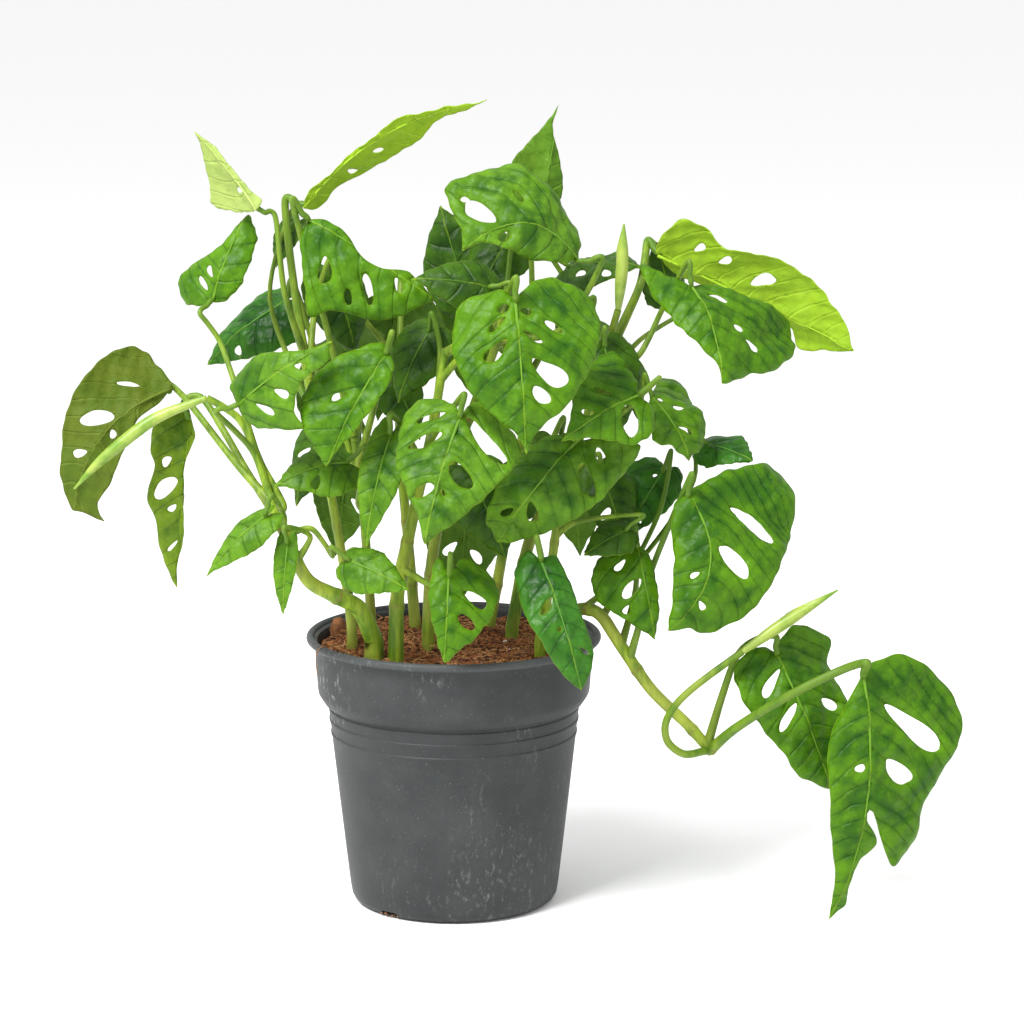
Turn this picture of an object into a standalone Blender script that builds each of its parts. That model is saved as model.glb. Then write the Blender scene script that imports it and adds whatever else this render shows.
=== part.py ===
"""Swiss cheese vine (Monstera adansonii) growing in a nursery pot."""
import math

import bmesh
import bpy
from mathutils import Vector
from mathutils.geometry import delaunay_2d_cdt

# The pot, metres, +Z up, standing on z = 0 with its axis on Z, front toward -Y.
POT_HEIGHT = 0.158
POT_LIP_R = 0.0851
POT_COLLAR_TOP_R = 0.0803
POT_COLLAR_LOW_R = 0.0783
POT_COLLAR_LOW_Z = 0.117
POT_BODY_TOP_R = 0.0726
POT_BODY_LOW_R = 0.0606
POT_FOOT_R = 0.0540
POT_WALL = 0.0018
POT_SIDES = 32
DRAIN_COUNT = 3
DRAIN_TURN = math.radians(-129)

# The soil fills the pot up to this height.
SOIL_TOP_Z = 0.151
SOIL_GAP = 0.0004
ROOT_DEPTH = 0.026
SOCKET_GAP = 0.0004

# The plant: thickness of a blade, half of the gap kept between a blade and its stalk.
BLADE = 0.0008
STALK_GAP = 0.0004
TUBE_SIDES = 6
STALK_SIDES = 5

# Places on the plant are read off a front drawing of 1024 x 1024 squares: how far
# right, how far down, and the depth in mm (minus is toward the viewer's eye).
EYE = Vector((0.0336, -2.041, 0.6178))
EYE_PITCH = math.radians(10.8)
EYE_SCALE = 3620.0


def seen(right, down, depth):
    """The point at that depth which the eye sees at that square of the drawing."""
    side = (right - 512.0) / EYE_SCALE
    rise = (512.0 - down) / EYE_SCALE
    ray = Vector((side, math.cos(EYE_PITCH) + rise * math.sin(EYE_PITCH),
                  rise * math.cos(EYE_PITCH) - math.sin(EYE_PITCH)))
    return EYE + ray * ((depth * 0.001 - EYE.y) / ray.y)


# The stems: name, radius at the soil, radius at the end, points from the soil outward.
STEMS = [
    ("stem_west", 5.4, 2.6, [(374, 640, -44), (359, 609, -50), (336, 596, -58), (308, 580, -64),
                             (290, 545, -66), (270, 500, -60)]),
    ("stem_northwest", 3.0, 1.9, [(352, 628, -18), (346, 580, -14), (332, 500, -8),
                                  (314, 410, -4), (302, 345, -2)]),
    ("stem_inner_west", 3.0, 2.0, [(372, 632, 8), (368, 570, 6), (362, 500, 4), (352, 425, 2)]),
    ("stem_front", 4.4, 2.2, [(396, 645, -50), (398, 590, -48), (410, 530, -44),
                              (430, 440, -38), (446, 350, -32)]),
    ("stem_middle", 3.6, 2.2, [(428, 630, -16), (432, 560, -14), (448, 480, -12),
                               (476, 400, -10), (502, 330, -8)]),
    ("stem_east", 3.8, 2.2, [(512, 628, 6), (530, 540, 8), (566, 460, 8), (598, 395, 6),
                             (612, 345, 4)]),
    ("stem_trailing", 3.8, 3.0, [(560, 640, -6), (574, 612, -12), (598, 613, -24),
                                 (620, 644, -30), (651, 689, -34), (687, 724, -38),
                                 (712, 752, -42)]),
    ("stem_southeast", 3.2, 2.0, [(540, 642, -34), (548, 590, -36), (556, 530, -36),
                                  (560, 490, -34)]),
    ("stem_back_west", 3.4, 2.0, [(415, 622, 36), (408, 540, 44), (400, 450, 50),
                                  (398, 370, 54)]),
    ("stem_back_east", 3.4, 2.0, [(490, 622, 38), (505, 540, 46), (520, 450, 54),
                                  (528, 370, 58)]),
]

# The leaves: name, stem, place along the stem, stalk joint, tip, turn and tilt of the
# upper face in degrees, width of each half in mm, bow of the midrib in mm, fold of the
# halves in degrees, points the stalk passes, and the holes (right, down, long, wide).
# The inner leaves are one solid with their stem.
LEAVES = [
    ("leaf_01", "stem_northwest", .98, (257, 211, -25), (195, 132, -10), (160, 20), (8, 13), 3, 30,
     [(284, 290, -24)], [(221, 160, 9, 5), (240, 190, 9, 5)]),
    ("leaf_02", "stem_west", .97, (212, 303, -15), (248, 214, 0), (-20, 20), (20, 24), 5, -12,
     [(240, 400, -40), (219, 340, -24)],
     [(203, 283, 14, 5), (210, 271, 11, 5), (214, 252, 9, 4)]),
    ("leaf_03", "stem_northwest", .80, (303, 208, 12), (487, 101, -10), (184, 52), (22, 26), 9, 12,
     [(296, 300, 12)], [(352, 170, 10, 5), (378, 150, 10, 5)]),
    ("leaf_04", "stem_northwest", .72, (298, 222, 28), (276, 268, 30), (-40, 10), (10, 10), 2, 20,
     [(270, 300, 26)], []),
    ("leaf_05", "stem_inner_west", .95, (306, 218, -34), (434, 300, -44), (-6, 28), (34, 15), 7, -8,
     [(330, 340, -4)],
     [(325, 270, 22, 9), (348, 296, 13, 6), (368, 288, 24, 7), (399, 285, 15, 7),
      (330, 237, 12, 3)]),
    ("leaf_06", "stem_middle", .85, (470, 300, 14), (440, 205, 26), (-15, 12), (24, 24), 4, -10,
     [(474, 350, 8)], [(455, 250, 14, 6), (482, 268, 12, 6)]),
    ("leaf_07", "stem_middle", .97, (580, 262, -34), (462, 250, -56), (4, 24), (32, 24), 10, -4,
     [(560, 330, -16)],
     [(480, 212, 32, 11), (465, 199, 12, 5), (520, 196, 12, 5), (505, 236, 12, 5)]),
    ("leaf_08", "stem_back_east", .97, (538, 206, 24), (559, 104, 34), (196, 8), (15, 22), -4, 14,
     [(532, 290, 50)], []),
    ("leaf_09", "stem_front", .90, (492, 288, -56), (412, 279, -58), (-10, 30), (15, 15), 5, -10,
     [(490, 320, -46)], [(455, 284, 10, 5)]),
    ("leaf_10", "stem_front", .99, (515, 298, -92), (526, 455, -112), (4, 22), (33, 46), 9, -9,
     [(490, 322, -62)],
     [(504, 308, 10, 5), (526, 310, 10, 5), (497, 324, 18, 4), (496, 351, 24, 9),
      (533, 337, 16, 4), (553, 326, 15, 5), (550, 373, 33, 13), (541, 395, 20, 8)]),
    ("leaf_11", "stem_east", .90, (566, 268, 34), (642, 268, 10), (10, 66), (26, 26), 4, -8,
     [(590, 320, 30)], [(580, 272, 12, 7), (606, 272, 14, 8)]),
    ("leaf_13", "stem_east", .99, (657, 255, 20), (855, 350, 4), (186, 34), (26, 30), 8, 16,
     [(640, 285, 12)],
     [(726, 259, 12, 6), (764, 279, 26, 8), (700, 248, 10, 5)]),
    ("leaf_14", "stem_east", .93, (690, 284, -26), (722, 384, -56), (14, 34), (30, 40), 8, -12,
     [(638, 356, -6), (660, 314, -2)],
     [(716, 338, 20, 10), (738, 328, 10, 4), (718, 297, 16, 4), (700, 305, 9, 4),
      (752, 346, 14, 4)]),
    ("leaf_15", "stem_east", .86, (668, 300, 34), (655, 240, 34), (20, 20), (14, 14), 3, -8,
     [(640, 340, 26)], [(661, 270, 10, 5)]),
    ("leaf_16", "stem_east", .80, (641, 394, -62), (562, 441, -80), (-4, 28), (28, 27), 7, -8,
     [(600, 430, -34)],
     [(630, 418, 32, 15), (602, 390, 16, 5), (588, 412, 12, 4)]),
    ("leaf_17", "stem_trailing", .10, (704, 444, -2), (754, 462, -24), (30, 24), (14, 18), 3, -10,
     [(640, 560, 0), (694, 480, 6)],
     [(729, 434, 18, 8), (716, 444, 7, 4), (730, 460, 10, 4)]),
    ("leaf_18", "stem_trailing", .50, (688, 494, -56), (668, 631, -76), (6, 12), (24, 50), 8, -8,
     [(640, 622, -40), (652, 569, -28)],
     [(752, 524, 42, 10), (734, 561, 38, 10), (702, 606, 34, 10), (704, 530, 10, 5),
      (695, 575, 8, 4)]),
    ("leaf_19", "stem_trailing", .44, (637, 545, -34), (655, 640, -48), (4, 12), (21, 12), 6, -10,
     [(636, 586, -16)],
     [(632, 588, 22, 9), (627, 610, 16, 9), (620, 565, 11, 5)]),
    ("leaf_20", "stem_southeast", .96, (578, 440, -58), (497, 543, -70), (-4, 26), (30, 36), 10, -12,
     [(568, 468, -40)],
     [(507, 512, 13, 5), (532, 512, 42, 13), (552, 473, 22, 7), (586, 479, 30, 9),
      (600, 455, 14, 6)]),
    ("leaf_21", "stem_front", .70, (461, 415, -92), (424, 546, -118), (-8, 26), (30, 31), 9, -10,
     [(444, 420, -58)],
     [(426, 440, 29, 8), (432, 416, 22, 6), (486, 442, 45, 11), (460, 475, 28, 10),
      (442, 492, 13, 5), (424, 490, 20, 7)]),
    ("leaf_22", "stem_front", .26, (449, 574, -88), (444, 665, -104), (2, 26), (14, 26), 6, -9,
     [(445, 590, -66)],
     [(447, 602, 8, 5), (475, 599, 25, 7), (466, 622, 19, 7), (447, 629, 10, 4)]),
    ("leaf_23", "stem_southeast", .22, (540, 558, -84), (582, 692, -114), (10, 20), (18, 15), 8, -10,
     [(546, 582, -52)],
     [(541, 573, 12, 6), (547, 606, 22, 7), (560, 629, 10, 5), (568, 645, 15, 6),
      (584, 651, 10, 3)]),
    ("leaf_24", "stem_west", .96, (238, 406, -66), (332, 341, -88), (-14, 24), (24, 22), 7, -10,
     [(252, 450, -54)],
     [(255, 390, 13, 6), (265, 409, 18, 5), (281, 393, 12, 6), (300, 366, 12, 5)]),
    ("leaf_25", "stem_inner_west", .80, (388, 352, -72), (326, 468, -84), (-14, 22), (26, 18), 7, 14,
     [(376, 400, -30)],
     [(367, 386, 16, 3), (338, 396, 14, 4)]),
    ("leaf_26", "stem_west", .99, (172, 389, -14), (74, 508, -30), (165, 12), (22, 26), -12, 14,
     [(235, 462, -44), (190, 404, -20)],
     [(128, 385, 20, 3), (98, 418, 30, 10), (80, 453, 14, 5), (76, 482, 34, 8),
      (113, 434, 10, 5)]),
    ("leaf_28", "stem_west", .88, (190, 416, 6), (177, 590, -4), (-24, 6), (14, 17), 5, 24,
     [(246, 470, -30), (204, 400, -4)],
     [(166, 461, 11, 6), (166, 487, 24, 10), (172, 508, 9, 4), (172, 546, 20, 3)]),
    ("leaf_29", "stem_west", .84, (268, 514, -84), (207, 576, -92), (-30, 34), (10, 12), 4, -10,
     [(284, 516, -72)], [(253, 531, 9, 5)]),
    ("leaf_30", "stem_west", .66, (288, 540, -84), (283, 616, -86), (-10, 10), (7, 7), 3, 16,
     [(310, 536, -74)], []),
    ("leaf_31", "stem_northwest", .60, (288, 300, 46), (206, 366, 40), (-40, 26), (20, 24), 5, -10,
     [(316, 360, 26)], [(250, 326, 12, 6), (238, 350, 12, 6)]),
    ("leaf_32", "stem_inner_west", .60, (350, 462, -46), (274, 486, -60), (-34, 30), (17, 19), 5, -10,
     [(358, 500, -20)], [(316, 482, 12, 6), (300, 474, 10, 5)]),
    ("leaf_33", "stem_front", .60, (392, 432, -66), (366, 548, -80), (-18, 20), (12, 15), 6, 12,
     [(404, 430, -56)], [(372, 500, 14, 5)]),
    ("leaf_34", "stem_west", .80, (348, 560, -74), (410, 591, -90), (-10, 34), (15, 13), 4, -10,
     [(312, 529, -70), (332, 556, -66)], [(366, 566, 10, 6), (384, 556, 8, 4)]),
    ("leaf_35", "stem_trailing", .97, (775, 652, -46), (830, 790, -58), (16, 16), (22, 34), 8, -12,
     [(738, 654, -40)],
     [(771, 684, 31, 8), (789, 717, 33, 8), (808, 734, 34, 6), (820, 750, 30, 5),
      (830, 704, 18, 7)]),
    ("leaf_36", "stem_trailing", .99, (863, 672, -92), (829, 921, -84), (8, 10), (24, 56), 10, -10,
     [(736, 728, -56), (790, 695, -82), (844, 669, -88)],
     [(914, 729, 57, 14), (898, 772, 32, 11), (860, 768, 9, 5)]),
    ("leaf_37", "stem_trailing", .30, (664, 470, 6), (624, 540, -8), (-10, 20), (22, 15), 5, -10,
     [(628, 575, -8), (660, 510, -12)], [(640, 520, 26, 5), (655, 475, 12, 5)]),
    ("leaf_38", "stem_southeast", .70, (628, 530, -42), (583, 556, -52), (-10, 36), (12, 12), 3, -8,
     [(580, 521, -38)], []),
    ("leaf_39", "stem_east", .84, (650, 396, -22), (690, 460, -46), (20, 34), (18, 22), 6, -10,
     [(638, 400, -14)],
     [(660, 400, 9, 4), (678, 407, 10, 5), (686, 430, 12, 4)]),
    ("leaf_40", "stem_middle", .60, (470, 470, -42), (506, 560, -50), (6, 16), (20, 22), 6, -10,
     [(468, 468, -26)], [(492, 510, 16, 7), (478, 500, 12, 5)]),
    ("leaf_41", "stem_back_west", .98, (352, 330, 66), (300, 420, 92), (-140, 26), (26, 24), 8, -10,
     [(384, 344, 58)], [(312, 360, 16, 7), (330, 390, 16, 7)]),
    ("leaf_42", "stem_back_west", .94, (400, 300, 80), (378, 420, 112), (-172, 26), (30, 28), 9, -10,
     [(400, 340, 64)], [(374, 350, 18, 8), (400, 366, 18, 8)]),
    ("leaf_43", "stem_back_west", .70, (360, 440, 84), (336, 556, 112), (-160, 20), (28, 26), 8, -10,
     [(380, 460, 62)], [(336, 490, 18, 8), (358, 506, 18, 7)]),
    ("leaf_44", "stem_back_east", .97, (486, 290, 92), (480, 410, 124), (176, 24), (30, 31), 9, -10,
     [(498, 333, 62)], [(464, 350, 18, 8), (498, 356, 20, 8)]),
    ("leaf_45", "stem_back_east", .96, (590, 320, 78), (640, 420, 106), (140, 26), (27, 28), 8, -10,
     [(545, 350, 64)], [(602, 372, 18, 8), (628, 366, 18, 8)]),
    ("leaf_46", "stem_back_east", .70, (560, 440, 92), (580, 556, 120), (160, 22), (28, 27), 8, -10,
     [(535, 470, 66)], [(556, 492, 18, 8), (584, 500, 18, 7)]),
    ("leaf_47", "stem_back_east", .40, (470, 500, 100), (456, 606, 126), (180, 18), (25, 26), 7, -10,
     [(485, 530, 66)], [(450, 548, 16, 7), (476, 556, 16, 7)]),
    ("inner_01", "stem_inner_west", .70, (330, 420, 18), (296, 506, 6), (-30, 20), (17, 19), 5,
     -10, [(346, 440, 4)], [(318, 462, 18, 6), (304, 452, 14, 5)]),
    ("inner_03", "stem_middle", .92, (508, 240, 6), (476, 306, -4), (-10, 30), (19, 17), 5,
     -10, [(506, 290, -12)], [(498, 262, 16, 6), (484, 276, 12, 6)]),
    ("inner_04", "stem_front", .84, (430, 330, -8), (398, 404, -14), (-20, 24), (18, 18), 5,
     -10, [(440, 348, -16)], [(412, 366, 16, 6)]),
    ("inner_05", "stem_east", .74, (604, 344, -22), (618, 440, -30), (14, 20), (19, 20), 6,
     -10, [(598, 358, -8)], [(604, 392, 18, 7), (624, 400, 14, 6)]),
    ("inner_06", "stem_east", .50, (600, 470, -10), (626, 556, -22), (12, 20), (16, 17), 5,
     -10, [(580, 468, 0)], [(606, 514, 16, 6)]),
    ("inner_09", "stem_northwest", .88, (330, 270, 30), (356, 356, 40), (10, 26), (20, 18), 5,
     -10, [(316, 300, 18)], [(344, 310, 16, 6)]),
    ("inner_10", "stem_inner_west", .92, (384, 360, 22), (420, 440, 16), (10, 26), (17, 16), 5,
     -10, [(368, 384, 10)], [(402, 398, 14, 6)]),
    ("inner_12", "stem_southeast", .86, (520, 470, 2), (496, 548, -14), (-8, 20), (17, 18), 5,
     -10, [(546, 486, -20)], [(506, 508, 16, 6)]),
]

# New leaves still rolled up: name, stem, place along it, points out to the tip.
SPEARS = [
    ("spear_west", "stem_west", .93, [(283, 505, -58), (262, 466, -50), (240, 420, -44),
                                      (207, 398, -44), (159, 417, -46), (126, 440, -48),
                                      (97, 464, -50), (74, 489, -52)], 4),
    ("spear_east", "stem_east", .97, [(607, 350, -2), (618, 310, -6), (622, 262, -8),
                                      (624, 224, -8)], 2),
    ("spear_trailing", "stem_trailing", .99, [(700, 752, -48), (684, 754, -54), (668, 742, -58),
                                              (666, 722, -60), (680, 700, -60), (706, 678, -60),
                                              (742, 652, -58), (776, 628, -56), (803, 611, -54),
                                              (838, 590, -52)], 7),
]

# Outlines of the leaves seen from the front, on the same drawing, once around from the
# stalk joint, with the sideways bend of the midrib in mm in front.
OUTLINES = {
    "leaf_01": (0, [(262, 200), (250, 190), (236, 172), (214, 146), (195, 132), (206, 166),
                    (211, 190), (214, 206), (238, 212)]),
    "leaf_02": (0, [(226, 300), (240, 284), (252, 258), (256, 232), (248, 214), (232, 232),
                    (214, 250), (192, 264), (178, 283), (186, 303), (200, 306)]),
    "leaf_03": (-9, [(306, 194), (327, 175), (361, 145), (397, 119), (440, 107), (487, 101),
                     (440, 119), (414, 142), (371, 168), (337, 187), (318, 206)]),
    "leaf_05": (0, [(324, 220), (345, 232), (362, 256), (382, 268), (410, 272), (434, 300),
                    (404, 314), (380, 320), (350, 314), (330, 310), (309, 316), (304, 280),
                    (300, 244)]),
    "leaf_07": (-16, [(577, 230), (560, 200), (536, 176), (512, 163), (478, 172), (446, 186),
                    (452, 210), (462, 234), (462, 250), (484, 242), (510, 250), (548, 262)]),
    "leaf_08": (0, [(550, 204), (562, 194), (560, 160), (552, 128), (559, 104), (545, 124),
                    (530, 140), (512, 162), (508, 185), (522, 204)]),
    "leaf_10": (0, [(530, 284), (552, 276), (579, 290), (595, 305), (600, 333), (591, 367),
                    (570, 402), (538, 432), (526, 455), (516, 434), (487, 411), (466, 384),
                    (454, 356), (453, 326), (463, 302), (484, 292), (502, 290)]),
    "leaf_13": (5, [(659, 238), (671, 225), (685, 219), (709, 229), (724, 246), (771, 256),
                    (811, 279), (841, 314), (855, 350), (828, 350), (798, 346), (790, 326),
                    (756, 312), (712, 288), (674, 272)]),
    "leaf_14": (2, [(712, 284), (740, 293), (775, 307), (790, 324), (795, 350), (776, 369),
                    (752, 375), (722, 384), (716, 362), (686, 332), (655, 298), (640, 266),
                    (664, 272)]),
    "leaf_16": (0, [(632, 370), (609, 352), (588, 368), (574, 394), (570, 420), (562, 441),
                    (596, 438), (628, 443), (650, 436), (655, 412)]),
    "leaf_18": (17, [(702, 482), (730, 470), (764, 464), (786, 478), (795, 503), (792, 530),
                    (782, 562), (754, 608), (714, 632), (690, 630), (668, 631), (672, 600),
                    (674, 560), (672, 524), (675, 502)]),
    "leaf_19": (0, [(650, 556), (657, 584), (659, 612), (655, 640), (638, 628), (616, 614),
                    (597, 600), (592, 574), (604, 553), (622, 543)]),
    "leaf_20": (0, [(604, 436), (640, 446), (626, 470), (600, 500), (560, 526), (520, 541),
                    (497, 543), (487, 520), (496, 486), (520, 454), (548, 436)]),
    "leaf_21": (0, [(476, 402), (500, 415), (520, 448), (512, 469), (490, 492), (466, 514),
                    (441, 532), (424, 546), (418, 520), (406, 490), (396, 460), (400, 428),
                    (412, 405), (434, 397), (452, 402)]),
    "leaf_22": (0, [(464, 559), (484, 568), (498, 588), (494, 612), (476, 637), (458, 652),
                    (444, 665), (438, 644), (432, 620), (429, 592), (437, 557)]),
    "leaf_23": (0, [(556, 556), (570, 582), (581, 613), (591, 640), (593, 664), (582, 692),
                    (560, 671), (543, 644), (528, 621), (520, 598), (515, 572), (526, 551)]),
    "leaf_24": (0, [(249, 425), (272, 429), (303, 428), (294, 412), (299, 384), (326, 362),
                    (332, 341), (300, 350), (258, 355), (238, 372), (230, 388)]),
    "leaf_25": (0, [(394, 366), (388, 384), (372, 408), (352, 434), (338, 448), (326, 468),
                    (313, 446), (303, 428), (301, 402), (314, 376), (338, 356), (364, 345),
                    (382, 342)]),
    "leaf_26": (13, [(164, 374), (147, 353), (122, 348), (92, 368), (67, 410), (61, 464),
                     (66, 496), (80, 514), (104, 521), (98, 504), (110, 484), (124, 450),
                     (138, 420), (158, 404)]),
    "leaf_28": (2, [(194, 436), (185, 464), (183, 502), (184, 529), (178, 560), (177, 590),
                    (161, 552), (155, 521), (147, 497), (154, 468), (150, 449), (154, 426),
                    (172, 410)]),
    "leaf_35": (0, [(762, 646), (744, 654), (734, 674), (740, 694), (752, 713), (776, 744),
                    (800, 776), (830, 790), (846, 756), (850, 722), (846, 697), (828, 664),
                    (830, 640), (802, 625), (784, 634)]),
    "leaf_36": (10, [(876, 660), (907, 656), (938, 676), (962, 716), (958, 744), (941, 775),
                     (922, 810), (916, 838), (896, 866), (886, 854), (873, 812), (867, 820),
                     (877, 842), (860, 862), (849, 886), (846, 906), (829, 921), (835, 880),
                     (833, 851), (830, 798), (829, 742), (846, 706), (855, 690)]),
    "leaf_39": (0, [(668, 378), (690, 398), (706, 428), (702, 446), (690, 460), (672, 447),
                    (655, 440), (648, 416)]),
}

# Half outline of a blade: share of the length, share of the half width.
HALF_OUTLINE = [(0, 0), (-.10, .20), (-.125, .48), (-.03, .80), (.16, .99), (.38, .96),
                (.60, .72), (.79, .41), (.92, .14)]


def smooth_path(points, pieces):
    """A curve through all the points, with that many pieces between neighbours."""
    ends = [points[0] * 2 - points[1]] + list(points) + [points[-1] * 2 - points[-2]]
    path = []
    for i in range(1, len(ends) - 2):
        p, q, r, s = ends[i - 1:i + 3]
        for step in range(pieces):
            t = step / pieces
            path.append(0.5 * (2 * q + (r - p) * t + (2 * p - 5 * q + 4 * r - s) * t * t
                               + (3 * q - p - 3 * r + s) * t ** 3))
    return path + [points[-1]]


def point_along(path, share):
    """The point at that share of the path's length, and the direction there."""
    lengths = [(b - a).length for a, b in zip(path, path[1:])]
    left = share * sum(lengths)
    for a, b, length in zip(path, path[1:], lengths):
        if left <= length or b is path[-1]:
            return a.lerp(b, min(left / length, 1.0)), (b - a).normalized()
        left -= length


class Blade:
    """The curved middle surface of one leaf, over a flat plan of along and across."""

    def __init__(self, name, joint, tip, face, halves, bow, fold):
        turn, tilt = math.radians(face[0]), math.radians(face[1])
        facing = Vector((math.sin(turn) * math.cos(tilt), -math.cos(turn) * math.cos(tilt),
                         math.sin(tilt)))
        self.joint = seen(*joint)
        self.length = (seen(*tip) - self.joint).length
        self.along = (seen(*tip) - self.joint).normalized()
        self.up = (facing - self.along * facing.dot(self.along)).normalized()
        self.across = self.up.cross(self.along)
        self.halves = [h * 0.001 for h in halves]
        self.bow = bow * 0.001
        self.fold = math.radians(fold)
        self.wave = 0.045 * sum(self.halves)
        self.curl = 0.14 / max(self.halves)
        self.phase = joint[0] * 0.37 + joint[1] * 0.11
        bend, self.drawn = OUTLINES.get(name, (0, []))
        self.bend = bend * 0.001

    def midrib(self, a):
        """How far across the midrib runs at that distance along."""
        t = min(1.0, max(0.0, a / self.length))
        return 4 * self.bend * t * (1 - t)

    def at(self, a, b):
        """The point of the middle surface over (a, b) of the plan."""
        t = a / self.length
        middle = self.midrib(a)
        b -= middle
        inside = max(0.0, t)
        slope = 4 * self.bow / self.length * (1 - 2 * inside)
        rise = 4 * self.bow * (t * (1 - t) if t > 0 else t)
        up = (self.up - self.along * slope).normalized()
        half = self.halves[1] if b > 0 else self.halves[0]
        edge = min(abs(b) / half, 1.2)
        lift = abs(b) * math.sin(self.fold) - b * b * self.curl
        lift += self.wave * edge * edge * math.sin(9.0 * t + self.phase + (2.1 if b > 0 else 0.0))
        return (self.joint + self.along * a + self.up * rise
                + self.across * (middle + b * math.cos(self.fold)) + up * lift)

    def normal(self, a, b):
        """The direction out of the upper face over (a, b)."""
        step = 0.0008
        return (self.at(a + step, b) - self.at(a - step, b)).cross(
            self.at(a, b + step) - self.at(a, b - step)).normalized() * -1

    def under(self, right, down):
        """The place of the plan whose point the eye sees at that square of the drawing."""
        ray = seen(right, down, 0) - EYE
        a = b = 0.0
        for step in range(14):
            point = self.at(a, b)
            spot = EYE + ray * ((point - EYE).dot(self.up) / ray.dot(self.up))
            a += (spot - point).dot(self.along) * (1.0 if step == 0 else 0.8)
            b += (spot - point).dot(self.across) * (1.0 if step == 0 else 0.8)
        return a, b

    def outline(self):
        """The edge of the blade on the plan, once around from the stalk joint."""
        if self.drawn:
            edge = [(0.0, 0.0)] + [self.under(*spot) for spot in self.drawn]
            tip = min(range(len(edge)), key=lambda i: math.dist(edge[i], (self.length, 0)))
            edge[tip] = (self.length, 0.0)
            return edge
        right = [(a * self.length, b * self.halves[1]) for a, b in HALF_OUTLINE]
        left = [(a * self.length, -b * self.halves[0]) for a, b in reversed(HALF_OUTLINE[1:])]
        return right + [(self.length, 0.0)] + left

    def hole(self, right, down, long, wide):
        """The middle, direction and half sizes of a hole, read off the front drawing."""
        a, b = self.under(right, down)
        turn = math.radians(62 - 30 * max(0.0, a / self.length))
        turn *= 1 if b > self.midrib(a) else -1
        return [a, b, turn, long * 0.00034, wide * 0.00042]


def ring(hole, count):
    """Points around a hole, drawn out toward the edge of the leaf."""
    a, b, turn, long, wide = hole
    points = []
    for i in range(count):
        angle = math.tau * i / count
        uneven = 1 + 0.10 * math.sin(2 * angle + a * 900) + 0.07 * math.sin(3 * angle + b * 700)
        u = long * math.cos(angle) * uneven
        v = wide * math.sin(angle) * (1.0 + 0.25 * math.cos(angle)) * uneven
        points.append((a + u * math.cos(turn) - v * math.sin(turn),
                       b + u * math.sin(turn) + v * math.cos(turn)))
    return points


def within(point, polygon):
    """Whether a point of the plan lies inside a closed line."""
    x, y = point
    inside = False
    for (x1, y1), (x2, y2) in zip(polygon, polygon[1:] + polygon[:1]):
        if (y1 > y) != (y2 > y) and x < (x2 - x1) * (y - y1) / (y2 - y1) + x1:
            inside = not inside
    return inside


def clear_holes(blade, rows):
    """The holes, each made smaller until it stays clear of edge, midrib and the others."""
    outline = blade.outline()
    middle = (blade.length * 0.4, blade.midrib(blade.length * 0.4))
    edge = [(middle[0] + (a - middle[0]) * 0.93, middle[1] + (b - middle[1]) * 0.93)
            for a, b in outline]
    kept = []
    for row in rows:
        hole = blade.hole(*row)
        while hole[3] > 0.0012:
            near = ring(hole[:3] + [hole[3] + 0.0008, hole[4] + 0.0008], 10)
            side = 1 if hole[2] > 0 else -1
            if (all(within(p, edge) and (p[1] - blade.midrib(p[0])) * side > 0.0010
                    for p in near)
                    and not any(within(p, other) for p in near for other in kept)
                    and not any(within(p, near) for other in kept for p in other)):
                kept.append(ring(hole, 6))
                break
            hole[3] *= 0.9
            hole[4] *= 0.92
    return kept


def new_object(name, mesh):
    item = bpy.data.objects.new(name, mesh)
    bpy.context.scene.collection.objects.link(item)
    return item


def solid_from(name, points, faces):
    """A closed solid from points and faces, with all faces turned outward."""
    mesh = bpy.data.meshes.new(name)
    mesh.from_pydata([tuple(p) for p in points], [], faces)
    work = bmesh.new()
    work.from_mesh(mesh)
    bmesh.ops.recalc_face_normals(work, faces=work.faces)
    if work.calc_volume(signed=True) < 0:
        bmesh.ops.reverse_faces(work, faces=work.faces)
    work.to_mesh(mesh)
    work.free()
    return new_object(name, mesh)


def tube_parts(path, radii, sides=TUBE_SIDES):
    """Points and triangles of a closed tube around a path."""
    points, faces = [], []
    side = Vector((0, 1, 0))
    n = len(path)
    for i, centre in enumerate(path):
        ahead = (path[min(i + 1, n - 1)] - path[max(i - 1, 0)]).normalized()
        side = (side - ahead * side.dot(ahead)).normalized()
        other = ahead.cross(side)
        for k in range(sides):
            angle = math.tau * k / sides
            points.append(centre + (side * math.cos(angle) + other * math.sin(angle)) * radii[i])
    for i in range(n - 1):
        for k in range(sides):
            a, b = i * sides + k, i * sides + (k + 1) % sides
            faces += [(a, b, b + sides), (a, b + sides, a + sides)]
    faces.append(tuple(reversed(range(sides))))
    faces.append(tuple(range((n - 1) * sides, n * sides)))
    return points, faces


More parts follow.
